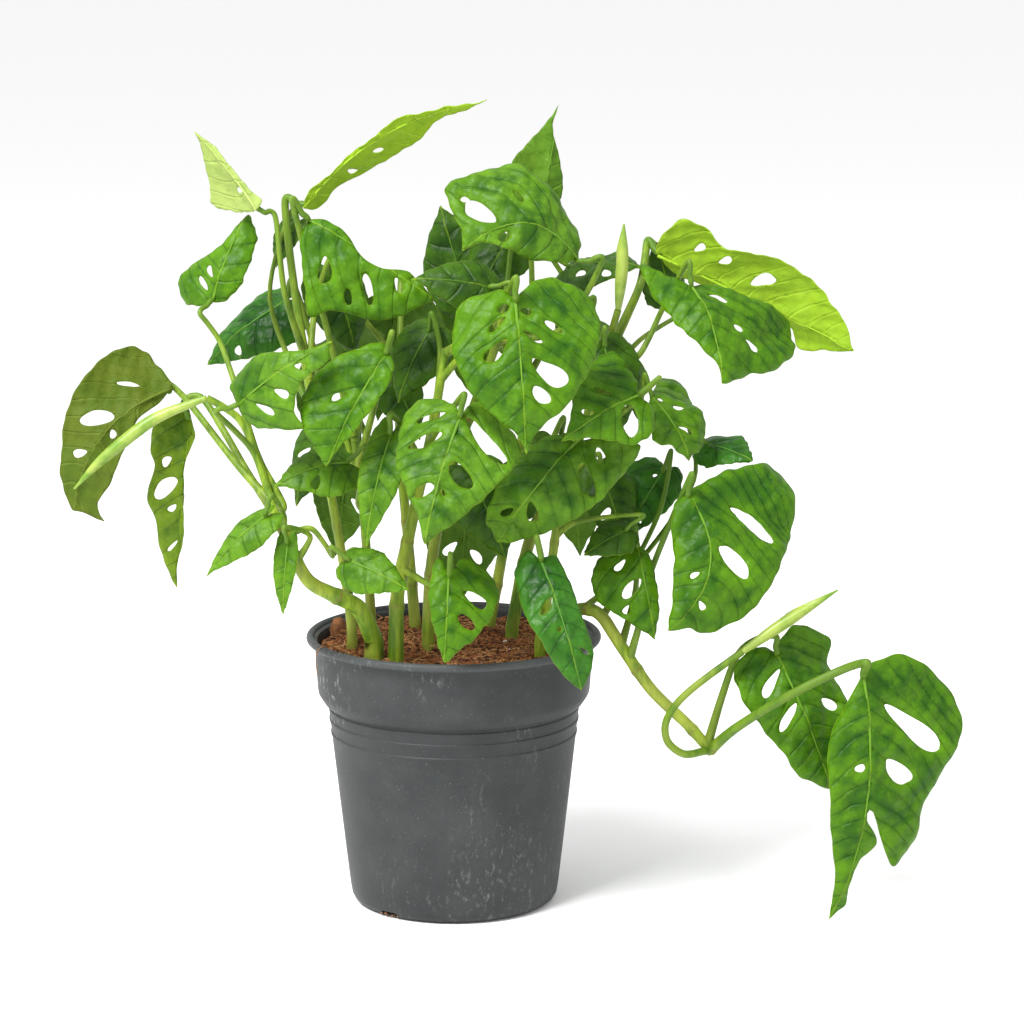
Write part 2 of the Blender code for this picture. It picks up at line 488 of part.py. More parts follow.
def blade_solid(name, blade, hole_rings):
    """The thick blade: the plan cut into triangles, lifted to both faces, walls between."""
    outline = blade.outline()
    spots = list(outline)
    edges = [(i, (i + 1) % len(outline)) for i in range(len(outline))]
    for hole in hole_rings:
        first = len(spots)
        spots += hole
        edges += [(first + i, first + (i + 1) % len(hole)) for i in range(len(hole))]
    # Points along the midrib keep the crease, points in each half carry the curve.
    first = len(spots)
    tip = outline.index((blade.length, 0.0))
    spots += [(blade.length * t, blade.midrib(blade.length * t))
              for t in (.16, .32, .48, .64, .82)]
    edges += [(0, first)] + [(first + i, first + i + 1) for i in range(4)]
    edges.append((first + 4, tip))
    for t, share in ((.02, .5), (.22, .5), (.42, .5), (.62, .4)):
        for half in (blade.halves[1], -blade.halves[0]):
            spot = (blade.length * t, blade.midrib(blade.length * t) + half * share)
            if within(spot, outline) and not any(within(spot, [(c[0] + (p[0] - c[0]) * 1.35, c[1] + (p[1] - c[1]) * 1.35)
                                     for p in hole])
                       for hole in hole_rings
                       for c in [(sum(p[0] for p in hole) / 6, sum(p[1] for p in hole) / 6)]):
                spots.append(spot)
    plan = delaunay_2d_cdt([Vector(s) for s in spots], edges, [], 1, 1e-7)
    flat, cells = plan[0], plan[2]
    kept = []
    for cell in cells:
        centre = (sum(flat[i][0] for i in cell) / 3, sum(flat[i][1] for i in cell) / 3)
        if within(centre, outline) and not any(within(centre, h) for h in hole_rings):
            kept.append(tuple(cell))
    count = len(flat)
    middle = [blade.at(p[0], p[1]) for p in flat]
    facing = [blade.normal(p[0], p[1]) * BLADE / 2 for p in flat]
    points = [m + f for m, f in zip(middle, facing)] + [m - f for m, f in zip(middle, facing)]
    faces = kept + [(c + count, b + count, a + count) for a, b, c in kept]
    used = {}
    for a, b, c in kept:
        for edge in ((a, b), (b, c), (c, a)):
            used[edge] = True
    for a, b in list(used):
        if (b, a) not in used:
            faces += [(b, a, a + count), (b, a + count, b + count)]
    return solid_from(name, points, faces)


def stalk_path(start, lead, blade, via, fused=False):
    """The stalk from inside its stem to just under the blade, or into it if it is fused."""
    facing = blade.normal(0.0015, 0.0)
    reach = 0.0 if fused else BLADE / 2 + 0.0010 + STALK_GAP
    under = blade.at(0.0015, 0.0) - facing * reach
    back = ((blade.at(0.002, 0.0) - blade.at(0.0, 0.0)).normalized() * 0.62
            + facing * 0.78).normalized()
    points = [start] + ([seen(*v) for v in via] or [start + lead * 0.02])
    points += [under - back * 0.012, under - back * 0.005, under]
    return smooth_path(points, 2)


def fuse(name, pieces):
    """One solid out of the overlapping pieces."""
    body, rest = pieces[0], pieces[1:]
    if rest:
        group = bpy.data.collections.new("cutters")
        bpy.context.scene.collection.children.link(group)
        for piece in rest:
            bpy.context.scene.collection.objects.unlink(piece)
            group.objects.link(piece)
        union = body.modifiers.new("join", 'BOOLEAN')
        union.operation = 'UNION'
        union.operand_type = 'COLLECTION'
        union.collection = group
        union.solver = 'MANIFOLD'
        apply_modifiers(body)
        for piece in list(group.objects):
            bpy.data.objects.remove(piece)
        bpy.data.collections.remove(group)
    body.name = name
    body.data.name = name
    return body


def apply_modifiers(item):
    bpy.context.view_layer.update()
    shape = bpy.data.meshes.new_from_object(
        item.evaluated_get(bpy.context.evaluated_depsgraph_get()))
    item.modifiers.clear()
    item.data = shape


def cut(item, cutter):
    """Cut one helper out of a solid and drop the helper."""
    cutter.hide_render = True
    cutter.display_type = 'WIRE'
    change = item.modifiers.new("cut", 'BOOLEAN')
    change.operation = 'DIFFERENCE'
    change.object = cutter
    change.solver = 'EXACT'
    apply_modifiers(item)
    bpy.data.objects.remove(cutter)


def turned(name, profile, sides):
    """A solid of revolution about Z; the profile starts and ends on the axis."""
    points, faces = [], []
    rows = []
    for radius, height in profile:
        if radius == 0:
            rows.append([len(points)])
            points.append((0, 0, height))
        else:
            rows.append(list(range(len(points), len(points) + sides)))
            points += [(radius * math.cos(math.tau * k / sides),
                        radius * math.sin(math.tau * k / sides), height) for k in range(sides)]
    for low, high in zip(rows, rows[1:]):
        for k in range(sides):
            a, b = low[k % len(low)], low[(k + 1) % len(low)]
            c, d = high[(k + 1) % len(high)], high[k % len(high)]
            if len(low) == 1:
                faces.append((a, c, d))
            elif len(high) == 1:
                faces.append((a, b, c))
            else:
                faces.append((a, b, c, d))
    item = solid_from(name, points, faces)
    for face in item.data.polygons:
        face.use_smooth = True
    return item


def material(item, name, colour, rough):
    """Give the object its own plain material."""
    paint = bpy.data.materials.new(name)
    paint.use_nodes = True
    shader = paint.node_tree.nodes["Principled BSDF"]
    shader.inputs["Base Color"].default_value = (*colour, 1)
    shader.inputs["Roughness"].default_value = rough
    paint.diffuse_color = (*colour, 1)
    item.data.materials.clear()
    item.data.materials.append(paint)


def make_pot():
    """The moulded pot: collar, rolled lip, two faint rings, rounded foot, drain notches."""
    inner = POT_WALL
    profile = [
        (0, 0), (POT_FOOT_R, 0), (POT_FOOT_R + 0.0040, 0.0012), (POT_FOOT_R + 0.0062, 0.0042),
        (POT_BODY_LOW_R, 0.0085), (0.0719, 0.0915), (0.0723, 0.0925), (0.0720, 0.0935),
        (0.0724, 0.0995), (0.0728, 0.1005), (0.0725, 0.1015), (POT_BODY_TOP_R, 0.1120),
        (POT_COLLAR_LOW_R, POT_COLLAR_LOW_Z), (POT_COLLAR_TOP_R, POT_HEIGHT - 0.0050),
        (POT_LIP_R - 0.0008, POT_HEIGHT - 0.0048), (POT_LIP_R, POT_HEIGHT - 0.0036),
        (POT_LIP_R, POT_HEIGHT - 0.0012), (POT_LIP_R - 0.0014, POT_HEIGHT),
        (POT_COLLAR_TOP_R - inner + 0.0004, POT_HEIGHT - 0.0002),
        (POT_COLLAR_TOP_R - inner, POT_HEIGHT - 0.0014),
        (POT_COLLAR_LOW_R - inner, POT_COLLAR_LOW_Z + 0.0012),
        (POT_BODY_TOP_R - inner, 0.1130), (POT_BODY_LOW_R - inner, 0.0095),
        (POT_FOOT_R + 0.0030, 0.0040), (POT_FOOT_R - 0.0020, 0.0022), (0, 0.0022)]
    pot = turned("pot", profile, POT_SIDES)
    for i in range(DRAIN_COUNT):
        turn = DRAIN_TURN + math.tau * i / DRAIN_COUNT
        out = Vector((math.cos(turn), math.sin(turn), 0))
        side = Vector((-math.sin(turn), math.cos(turn), 0))
        corners = []
        for reach in (0.0545, 0.0680):
            for half, height in ((-0.0072, -0.001), (0.0072, -0.001), (0.0056, 0.0038),
                                 (-0.0056, 0.0038)):
                corners.append(out * reach + side * half + Vector((0, 0, height)))
        cutter = solid_from("drain", corners, [
            (3, 2, 1, 0), (4, 5, 6, 7), (0, 1, 5, 4), (1, 2, 6, 5), (2, 3, 7, 6), (3, 0, 4, 7)])
        cut(pot, cutter)
    material(pot, "pot_plastic", (0.078, 0.080, 0.079), 0.55)
    return pot


def make_soil(roots):
    """The filling of moist coir, with a lumpy top and a blind socket for every stem."""
    low_r = POT_BODY_LOW_R - POT_WALL - SOIL_GAP
    profile = [(0, 0.0026), (POT_FOOT_R - 0.0030, 0.0026), (POT_FOOT_R + 0.0020, 0.0052),
               (low_r - 0.0004, 0.0105), (POT_BODY_TOP_R - POT_WALL - SOIL_GAP - 0.0003, 0.1125),
               (POT_COLLAR_LOW_R - POT_WALL - SOIL_GAP - 0.0006, 0.1190),
               (POT_COLLAR_LOW_R - POT_WALL - SOIL_GAP + 0.0010, SOIL_TOP_Z - 0.0040),
               (0.0690, SOIL_TOP_Z - 0.0010), (0.0580, SOIL_TOP_Z), (0.0440, SOIL_TOP_Z),
               (0.0290, SOIL_TOP_Z), (0.0140, SOIL_TOP_Z), (0, SOIL_TOP_Z)]
    soil = turned("soil", profile, POT_SIDES)
    for vertex in soil.data.vertices:
        radius = math.hypot(vertex.co.x, vertex.co.y)
        if vertex.co.z > SOIL_TOP_Z - 0.002:
            x, y = vertex.co.x * 1000, vertex.co.y * 1000
            bump = math.sin(x * 0.17 + 1.0) * math.sin(y * 0.21 + 0.4) + 0.6 * math.sin(
                x * 0.43 + y * 0.37)
            vertex.co.z += 0.0014 * bump - 0.03 * max(0.0, radius - 0.060)
    for face in soil.data.polygons:
        face.use_smooth = False
    for path, radius in roots:
        points, faces = tube_parts(path, [radius] * len(path))
        cut(soil, solid_from("socket", points, faces))
    material(soil, "soil_coir", (0.13, 0.055, 0.028), 0.95)
    return soil


def main():
    for item in list(bpy.data.objects):
        bpy.data.objects.remove(item)
    stems, roots, tubes = {}, [], {}
    for name, first_r, last_r, points in STEMS:
        path = smooth_path([seen(*p) for p in points], 3)
        # The root end goes straight down from where the stem meets the soil.
        start = path[0]
        root = [start + Vector((0, 0, -ROOT_DEPTH)), start + Vector((0, 0, -0.004))]
        stems[name] = path
        whole = root + path[1:]
        count = len(whole)
        radii = [(first_r + (last_r - first_r) * i / (count - 1)) * 0.001 for i in range(count)]
        points_3d, faces = tube_parts(whole, radii)
        tubes[name] = [solid_from(name, points_3d, faces)]
        foot = root[0] - Vector((0, 0, SOCKET_GAP))
        roots.append(([foot, start + Vector((0, 0, 0.004)), start + Vector((0, 0, 0.012))],
                      first_r * 0.001 + SOCKET_GAP * 1.3))
    for name, stem, share, joint, tip, face, halves, bow, fold, via, holes in LEAVES:
        blade = Blade(name, joint, tip, face, halves, bow, fold)
        leaf = blade_solid(name, blade, clear_holes(blade, holes))
        material(leaf, name + "_blade", (0.09, 0.32, 0.035), 0.42)
        fused = name.startswith("inner")
        start, lead = point_along(stems[stem], share)
        path = stalk_path(start, lead, blade, via, fused)
        radii = [0.0017 - 0.0006 * min(1.0, i / (len(path) - 1) * 1.3) for i in range(len(path))]
        points_3d, faces = tube_parts(path, radii, STALK_SIDES)
        tubes[stem].append(solid_from("stalk", points_3d, faces))
        if fused:
            tubes[stem].append(leaf)
    for name, stem, share, points, from_point in SPEARS:
        start, lead = point_along(stems[stem], share)
        spots = [seen(*p) for p in points]
        blade_from = max(from_point - 1, 0)
        stalk = smooth_path([start] + spots[:blade_from + 1], 2)
        joint = spots[blade_from]
        ahead = (spots[blade_from + 1] - joint).normalized()
        if blade_from:
            radii = [0.0021 - 0.0004 * i / (len(stalk) - 1) for i in range(len(stalk))]
            points_3d, faces = tube_parts(stalk, radii)
            tubes[stem].append(solid_from("stalk", points_3d, faces))
        # The roll starts clear of its stalk, more so where it turns away from it.
        turned_by = 1 - ahead.dot((stalk[-1] - stalk[-2]).normalized()) if blade_from else 0.3
        path = smooth_path([joint + ahead * (0.0006 + 0.0032 * turned_by)]
                           + spots[blade_from + 1:], 3)
        count = len(path)
        radii = [0.0006 + 0.0030 * math.sin(math.pi * min(1.0, 0.08 + 0.94 * i / (count - 1)))
                 for i in range(count)]
        points_3d, faces = tube_parts(path, radii)
        roll = solid_from(name, points_3d, faces)
        material(roll, name + "_roll", (0.36, 0.52, 0.07), 0.45)
    for name, pieces in tubes.items():
        vine = fuse(name, pieces)
        for face in vine.data.polygons:
            face.use_smooth = True
        material(vine, name + "_bark", (0.22, 0.42, 0.06), 0.45)
    make_pot()
    make_soil(roots)


main()
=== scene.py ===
import math
import random

import bmesh
import bpy
import numpy as np
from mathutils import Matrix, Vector
from mathutils.geometry import delaunay_2d_cdt


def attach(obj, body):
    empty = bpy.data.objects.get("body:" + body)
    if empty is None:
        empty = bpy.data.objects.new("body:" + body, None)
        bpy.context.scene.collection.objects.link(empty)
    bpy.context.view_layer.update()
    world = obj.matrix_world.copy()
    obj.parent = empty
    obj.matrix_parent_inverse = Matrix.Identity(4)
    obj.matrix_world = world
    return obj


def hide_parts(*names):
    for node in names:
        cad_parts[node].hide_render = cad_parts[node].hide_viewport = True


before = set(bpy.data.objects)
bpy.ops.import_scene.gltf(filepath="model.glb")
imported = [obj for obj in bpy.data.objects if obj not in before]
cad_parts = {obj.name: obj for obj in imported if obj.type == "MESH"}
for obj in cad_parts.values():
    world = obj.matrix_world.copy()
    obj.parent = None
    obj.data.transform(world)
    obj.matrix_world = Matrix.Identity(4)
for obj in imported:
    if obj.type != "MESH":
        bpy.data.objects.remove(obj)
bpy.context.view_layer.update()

# The view
# The plant is looked at from the front and a little above, through a long lens. Places
# on it are read off a front drawing of 1024 squares each way: right, down, depth in mm.
EYE = Vector((0.0336, -2.041, 0.6178))
PITCH = math.radians(10.8)
SQUARES, FOCAL = 1024, 3620


def put_in(name, data):
    """A new object of that name in the scene."""
    item = bpy.data.objects.new(name, data)
    bpy.context.scene.collection.objects.link(item)
    return item


camera = put_in("camera", bpy.data.cameras.new("camera"))
camera.location = EYE
camera.rotation_euler = (math.pi / 2 - PITCH, 0, 0)
camera.data.sensor_width = 36
camera.data.lens = FOCAL / SQUARES * 36
camera.data.clip_end = 20
bpy.context.scene.camera = camera


# The pot
# A thin-walled nursery pot of dark grey polypropylene, moulded in one piece: rolled lip,
# deep collar, two faint rings, straight tapered body, rounded foot with drain notches.
def declare(item, stands_for):
    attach(item, "root")
    if stands_for:
        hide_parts(*stands_for)


def piece(name, points, faces, paint, stands_for):
    """A finished piece of the plant, riding on the one body, in place of CAD nodes."""
    mesh = bpy.data.meshes.new(name)
    mesh.from_pydata([tuple(p) for p in points], [], [tuple(f) for f in faces])
    mesh.materials.append(paint)
    mesh.shade_smooth()
    item = put_in(name, mesh)
    work = bmesh.new()
    work.from_mesh(mesh)
    bmesh.ops.recalc_face_normals(work, faces=work.faces)
    if work.calc_volume(signed=True) < 0:
        bmesh.ops.reverse_faces(work, faces=work.faces)
    work.to_mesh(mesh)
    work.free()
    declare(item, stands_for)
    return item


def plain_mesh(item):
    """The plain mesh that an item's modifiers, or its curve, come to."""
    bpy.context.view_layer.update()
    return bpy.data.meshes.new_from_object(
        item.evaluated_get(bpy.context.evaluated_depsgraph_get()))


def rgba(colour):
    return colour if isinstance(colour, bpy.types.NodeSocket) else (*colour, 1)


class Nodes:
    """A tree built node by node; a value in place of another node's output sets the socket."""

    def put(self, socket, value):
        if isinstance(value, bpy.types.NodeSocket):
            self.tree.links.new(value, socket)
        else:
            socket.default_value = value

    def node(self, kind, settings=None, **sockets):
        """A new node. Its sockets go by number, as i0, or by name, as Fill_Caps."""
        made = self.tree.nodes.new(kind)
        for key, value in (settings or {}).items():
            setattr(made, key, value)
        for key, value in sockets.items():
            which = int(key[1:]) if key[1:].isdigit() else key.replace("_", " ")
            self.put(made.inputs[which], value)
        return made


class Paint(Nodes):
    """A material whose colour, gloss and relief come from patterns on Object coordinates."""

    def __init__(self, name, rough, specular=0.5):
        self.material = bpy.data.materials.new(name)
        self.material.use_nodes = True
        self.tree = self.material.node_tree
        self.shader = self.tree.nodes["Principled BSDF"]
        self.shader.inputs["Roughness"].default_value = rough
        self.shader.inputs["Specular IOR Level"].default_value = specular

    def times(self, a, b):
        return self.math('MULTIPLY', a, b)

    def math(self, operation, a, b=0.0):
        return self.node("ShaderNodeMath", {"operation": operation}, i0=a, i1=b).outputs[0]

    def ramp(self, value, low, high, to_low=0.0, to_high=1.0):
        return self.node("ShaderNodeMapRange", {"interpolation_type": 'SMOOTHSTEP'}, i0=value,
                         i1=low, i2=high, i3=to_low, i4=to_high).outputs[0]

    def mix(self, share, a, b):
        return self.node("ShaderNodeMix", {"data_type": 'RGBA'}, i0=share, i6=rgba(a),
                         i7=rgba(b)).outputs[2]

    def place(self):
        return self.node("ShaderNodeTexCoord").outputs["Object"]

    def noise(self, scale, detail=4.0, rough=0.55, stretch=None):
        place = self.place()
        if stretch:
            place = self.node("ShaderNodeMapping", i0=place, i3=stretch).outputs[0]
        return self.node("ShaderNodeTexNoise", i0=place, i2=scale, i3=detail,
                         i4=rough).outputs["Fac"]

    def parts(self, vector):
        return self.node("ShaderNodeSeparateXYZ", i0=vector).outputs

    def attribute(self, name):
        return self.parts(self.node("ShaderNodeAttribute",
                                    {"attribute_name": name}).outputs["Vector"])

    def bump(self, height, distance, strength=1.0, after=None):
        made = self.node("ShaderNodeBump", Strength=strength, Distance=distance, Height=height)
        if after is not None:
            self.put(made.inputs["Normal"], after)
        return made.outputs[0]

    def finish(self, colour, normal=None):
        self.put(self.shader.inputs["Base Color"], rgba(colour))
        if normal is not None:
            self.put(self.shader.inputs["Normal"], normal)
        return self.material


paint = Paint("pot_plastic", 0.5, 0.16)
dust = paint.noise(26, 6, 0.62)
scrape = paint.noise(11, 4, 0.6)
height = paint.parts(paint.place())[2]
# Fine pale scratches in patches, most of them on the collar, and a little dried water.
scratch = paint.times(paint.ramp(paint.noise(330, 7, 0.75, stretch=(1.0, 1.0, 0.45)), 0.54, 0.66),
                      paint.ramp(scrape, 0.44, 0.62))
on_collar = paint.ramp(height, 0.104, 0.120, 0.45, 1.3)
lip_top_highlight = paint.ramp(height, 0.1525, 0.1545)
specks = paint.ramp(paint.noise(900, 2, 0.5), 0.68, 0.76)
base = paint.mix(paint.ramp(dust, 0.3, 0.75), (0.030, 0.033, 0.033), (0.048, 0.051, 0.051))
base = paint.mix(paint.times(scratch, on_collar), base, (0.20, 0.21, 0.20))
base = paint.mix(paint.times(specks, 0.25), base, (0.34, 0.34, 0.33))
# The top of the rolled lip is painted lighter grey: a painted highlight.
base = paint.mix(paint.times(lip_top_highlight, 0.35), base, (0.085, 0.092, 0.092))
paint.put(paint.shader.inputs["Roughness"], paint.ramp(dust, 0.3, 0.7, 0.42, 0.56))
pot_paint = paint.finish(base, paint.bump(paint.noise(1400, 2), 0.00005, 0.4))

# The profile runs from the middle of the base up the outside, over the lip and down inside.
POT = [(0.0, 0.0004), (0.020, 0.0004), (0.0215, 0.0), (0.0500, 0.0), (0.0540, 0.0001),
       (0.0566, 0.0008), (0.0586, 0.0023), (0.0598, 0.0045), (0.0605, 0.0085), (0.0612, 0.0140)]
# Two faint raised rings stand on the straight body, under the ledge of the collar.
BODY_RADIUS, BODY_FOOT, TAPER = 0.0606, 0.0085, 0.1135
POT += [(BODY_RADIUS + (z - BODY_FOOT) * TAPER + ring, z) for z, ring in (
    (0.03, 0), (0.05, 0), (0.07, 0), (0.085, 0), (0.0985, 0), (0.0993, .0004), (0.1005, .0004),
    (0.1011, -.0002), (0.1064, 0), (0.1072, .0004), (0.1084, .0004), (0.1090, -.0002),
    (0.1150, 0), (0.1158, -.0006), (0.1169, -.0006))]
POT += [(0.0733, 0.1173), (0.0748, 0.1181), (0.0765, 0.1206), (0.0776, 0.1224),
        (0.0783, 0.1237), (0.0787, 0.1258), (0.0794, 0.1360), (0.0800, 0.1480),
        (0.0804, 0.1520), (0.0808, 0.1530)]
POT += [(0.0829 + 0.0022 * math.cos(a), 0.1557 + 0.0023 * math.sin(a))
        for a in (math.radians(d) for d in range(-100, 181, 20))]
POT += [(0.0790, 0.1546), (0.0784, 0.1520), (0.0774, 0.1300), (0.0766, 0.1250), (0.0708, 0.1170),
        (0.0588, 0.0100), (0.0560, 0.0036), (0.0500, 0.0024), (0.0, 0.0024)]
POT_SIDES = 160
points, faces, rows = [], [], []
for radius, z in POT:
    count = 1 if radius == 0 else POT_SIDES
    rows.append(range(len(points), len(points) + count))
    points += [(radius * math.cos(turn), radius * math.sin(turn), z)
               for turn in (math.tau * k / POT_SIDES for k in range(count))]
for low, high in zip(rows, rows[1:]):
    for k in range(POT_SIDES):
        ring = [low[k % len(low)], low[(k + 1) % len(low)],
                high[(k + 1) % len(high)], high[k % len(high)]]
        faces.append(list(dict.fromkeys(ring)))
pot = piece("nursery_pot", points, faces, pot_paint, ["pot"])
# Each drain notch is cut out of the foot by a block with a rounded top.
NOTCH_TURNS, NOTCH_REACH = (-129, -9, 111), (0.0515, 0.0680)
NOTCH = [(-.0074, -.001), (.0074, -.001), (.0060, .0030), (.0044, .0040), (-.0044, .0040),
         (-.0060, .0030)]
for turn in (math.radians(d) for d in NOTCH_TURNS):
    out = Vector((math.cos(turn), math.sin(turn), 0))
    side = Vector((-math.sin(turn), math.cos(turn), 0))
    corners = [out * reach + side * half + Vector((0, 0, z))
               for reach in NOTCH_REACH for half, z in NOTCH]
    cutter = put_in("notch", bpy.data.meshes.new("notch"))
    cutter.data.from_pydata([tuple(c) for c in corners], [], [
        (5, 4, 3, 2, 1, 0), (6, 7, 8, 9, 10, 11)] + [
        (k, (k + 1) % 6, (k + 1) % 6 + 6, k + 6) for k in range(6)])
    notch = pot.modifiers.new("notch", 'BOOLEAN')
    notch.operation, notch.solver, notch.object = 'DIFFERENCE', 'EXACT', cutter
    pot.data = plain_mesh(pot)
    pot.modifiers.clear()
    bpy.data.objects.remove(cutter)
pot.data.set_sharp_from_angle(angle=math.radians(38))

# The soil
# Reddish-brown coir potting mix, moist and loosely pressed: crumbs and pith with pale
# husk fibres on top and a few chips and grains of perlite, filled to just under the lip.
paint = Paint("soil_coir", 0.95, 0.25)
clod = paint.noise(240, 6, 0.7)
patch = paint.noise(60, 3, 0.6)
tone = paint.mix(paint.ramp(clod, 0.35, 0.66), (0.020, 0.007, 0.003), (0.24, 0.085, 0.026))
tone = paint.mix(paint.times(paint.ramp(patch, 0.45, 0.7), 0.5), tone, (0.27, 0.115, 0.050))
soil_paint = paint.finish(tone, paint.bump(clod, 0.0012, 0.9))
SOIL_TOP, SOIL_FLOOR, SOIL_RADIUS, SOIL_RINGS, SOIL_SIDES = 0.1508, 0.1400, 0.0766, 44, 150
draw = random.Random(11)
hills = [(draw.uniform(-.07, .07), draw.uniform(-.07, .07), draw.uniform(.005, .014),
          draw.uniform(-.0012, .0022)) for _ in range(90)]
points, faces = [(0.0, 0.0, SOIL_TOP)], []
for i in range(1, SOIL_RINGS + 1):
    radius = SOIL_RADIUS * i / SOIL_RINGS
    for k in range(SOIL_SIDES):
        turn = math.tau * k / SOIL_SIDES
        x, y = radius * math.cos(turn), radius * math.sin(turn)
        z = SOIL_TOP + 0.0012 * math.sin(x * 170 + 1.0) * math.sin(y * 210 + 0.4)
        z += sum(h * math.exp(-((x - u) ** 2 + (y - v) ** 2) / (w * w)) for u, v, w, h in hills)
        z += draw.uniform(-0.0004, 0.0005) - 0.03 * max(0.0, radius - 0.062)
        points.append((x, y, z))
for k in range(SOIL_SIDES):
    faces.append((0, 1 + k, 1 + (k + 1) % SOIL_SIDES))
    for i in range(SOIL_RINGS - 1):
        a, b = 1 + i * SOIL_SIDES + k, 1 + i * SOIL_SIDES + (k + 1) % SOIL_SIDES
        faces.append((a, a + SOIL_SIDES, b + SOIL_SIDES, b))
low = len(points)
points += [(0.0764 * math.cos(turn), 0.0764 * math.sin(turn), SOIL_FLOOR)
           for turn in (math.tau * k / SOIL_SIDES for k in range(SOIL_SIDES))]
rim = low - SOIL_SIDES
faces += [(rim + k, low + k, low + (k + 1) % SOIL_SIDES, rim + (k + 1) % SOIL_SIDES)
          for k in range(SOIL_SIDES)]
faces.append(tuple(range(low + SOIL_SIDES - 1, low - 1, -1)))
soil = piece("coir_soil", points, faces, soil_paint, ["soil"])


class Growth(Nodes):
    """A geometry tree with named inputs that makes one piece out of a mesh."""

    def __init__(self, name, **inputs):
        self.name, self.inputs = name, inputs
        self.tree = bpy.data.node_groups.new(name, 'GeometryNodeTree')
        socket = self.tree.interface.new_socket
        socket("Geometry", in_out='INPUT', socket_type='NodeSocketGeometry')
        for label, value in inputs.items():
            socket(label, in_out='INPUT',
                   socket_type='NodeSocketInt' if isinstance(value, int) else 'NodeSocketFloat')
        socket("Geometry", in_out='OUTPUT', socket_type='NodeSocketGeometry')
        self.given = self.node("NodeGroupInput").outputs

    def make(self, kind, settings=None, **sockets):
        """The first output of a new node."""
        return self.node(kind, settings, **sockets).outputs[0]

    def tube(self, curve, sides, radius, **more):
        """A round tube with closed ends along a curve."""
        ring = self.make("GeometryNodeCurvePrimitiveCircle", Resolution=sides, Radius=radius)
        return self.make("GeometryNodeCurveToMesh", Curve=curve, Profile_Curve=ring,
                         Fill_Caps=True, **more)

    def grow(self, mesh, shape, paint, stands_for, finish):
        """The piece that the tree's shape, dressed in the paint, makes out of the mesh."""
        whole = self.make("GeometryNodeRealizeInstances", i0=shape)
        self.node("NodeGroupOutput",
                  i0=self.make("GeometryNodeSetMaterial", Geometry=whole, Material=paint))
        item = put_in(self.name, mesh)
        change = item.modifiers.new(self.name, 'NODES')
        change.node_group = self.tree
        for socket in self.tree.interface.items_tree:
            if socket.in_out == 'INPUT' and socket.name in self.inputs:
                change[socket.identifier] = self.inputs[socket.name]
        item.data = plain_mesh(item)
        item.modifiers.clear()
        declare(item, stands_for)


# Of each kind of bit: how near the wall it lies, and how finely and how much it is bent.
BITS = {"fibre": (0.0665, 150.0, 0.007), "chip": (0.0735, 500.0, 0.0012),
        "crumb": (0.0735, 500.0, 0.0016)}


def scatter(name, density, seed, kind, size, paint, lift):
    """Many small bits laid over the top of the soil, turned and sized at random."""
    reach, fineness, bend = BITS[kind]
    tree = Growth(name, Density=density, Seed=seed, Size=size)
    make = tree.make
    normal = tree.node("ShaderNodeSeparateXYZ", i0=make("GeometryNodeInputNormal"))
    upward = make("FunctionNodeCompare", i0=normal.outputs[2], i1=0.5)
    flat = make("ShaderNodeVectorMath", {"operation": 'MULTIPLY'},
                i0=make("GeometryNodeInputPosition"), i1=(1, 1, 0))
    radius = tree.node("ShaderNodeVectorMath", {"operation": 'LENGTH'}, i0=flat).outputs["Value"]
    clear = make("FunctionNodeCompare", {"operation": 'LESS_THAN'}, i0=radius, i1=reach)
    spots = make("GeometryNodeDistributePointsOnFaces", Mesh=tree.given["Geometry"],
                 Selection=make("FunctionNodeBooleanMath", i0=upward, i1=clear),
                 Density=tree.given["Density"], Seed=tree.given["Seed"])
    if kind == "fibre":
        line = make("GeometryNodeCurvePrimitiveLine", Start=(-1, 0, 0), End=(1, 0, 0))
        bit = make("GeometryNodeResampleCurve", Curve=line, Count=9)
    elif kind == "chip":
        bit = make("GeometryNodeMeshCube", Size=(1.6, 0.8, 0.16))
    else:
        bit = make("GeometryNodeMeshIcoSphere", Subdivisions=2)
    spin = make("FunctionNodeRandomValue", {"data_type": 'FLOAT_VECTOR'}, i0=(-lift, -lift, 0),
                i1=(lift, lift, math.tau))
    share = tree.node("FunctionNodeRandomValue", i2=0.45, i3=1.3).outputs[1]
    scale = make("ShaderNodeMath", {"operation": 'MULTIPLY'}, i0=share, i1=tree.given["Size"])
    laid = make("GeometryNodeRealizeInstances", i0=make(
        "GeometryNodeInstanceOnPoints", Points=spots, Instance=bit, Rotation=spin, Scale=scale))
    # Every bit is bent by a fine noise of its place, so that no two are alike.
    wobble = tree.node("ShaderNodeTexNoise", Scale=fineness).outputs["Color"]
    shift = make("ShaderNodeVectorMath", {"operation": 'MULTIPLY_ADD'}, i0=wobble,
                 i1=(bend,) * 3, i2=(-bend / 2,) * 3)
    shape = make("GeometryNodeSetPosition", Geometry=laid, Offset=shift)
    if kind == "fibre":
        shape = tree.tube(shape, 4, 0.0002)
    tree.grow(soil.data.copy(), shape, paint, [], "soil_coir")


def plain(name, colour, rough, other, scale=300.0):
    paint = Paint(name, rough, 0.3)
    return paint.finish(paint.mix(paint.ramp(paint.noise(scale, 2), 0.35, 0.65), colour, other))


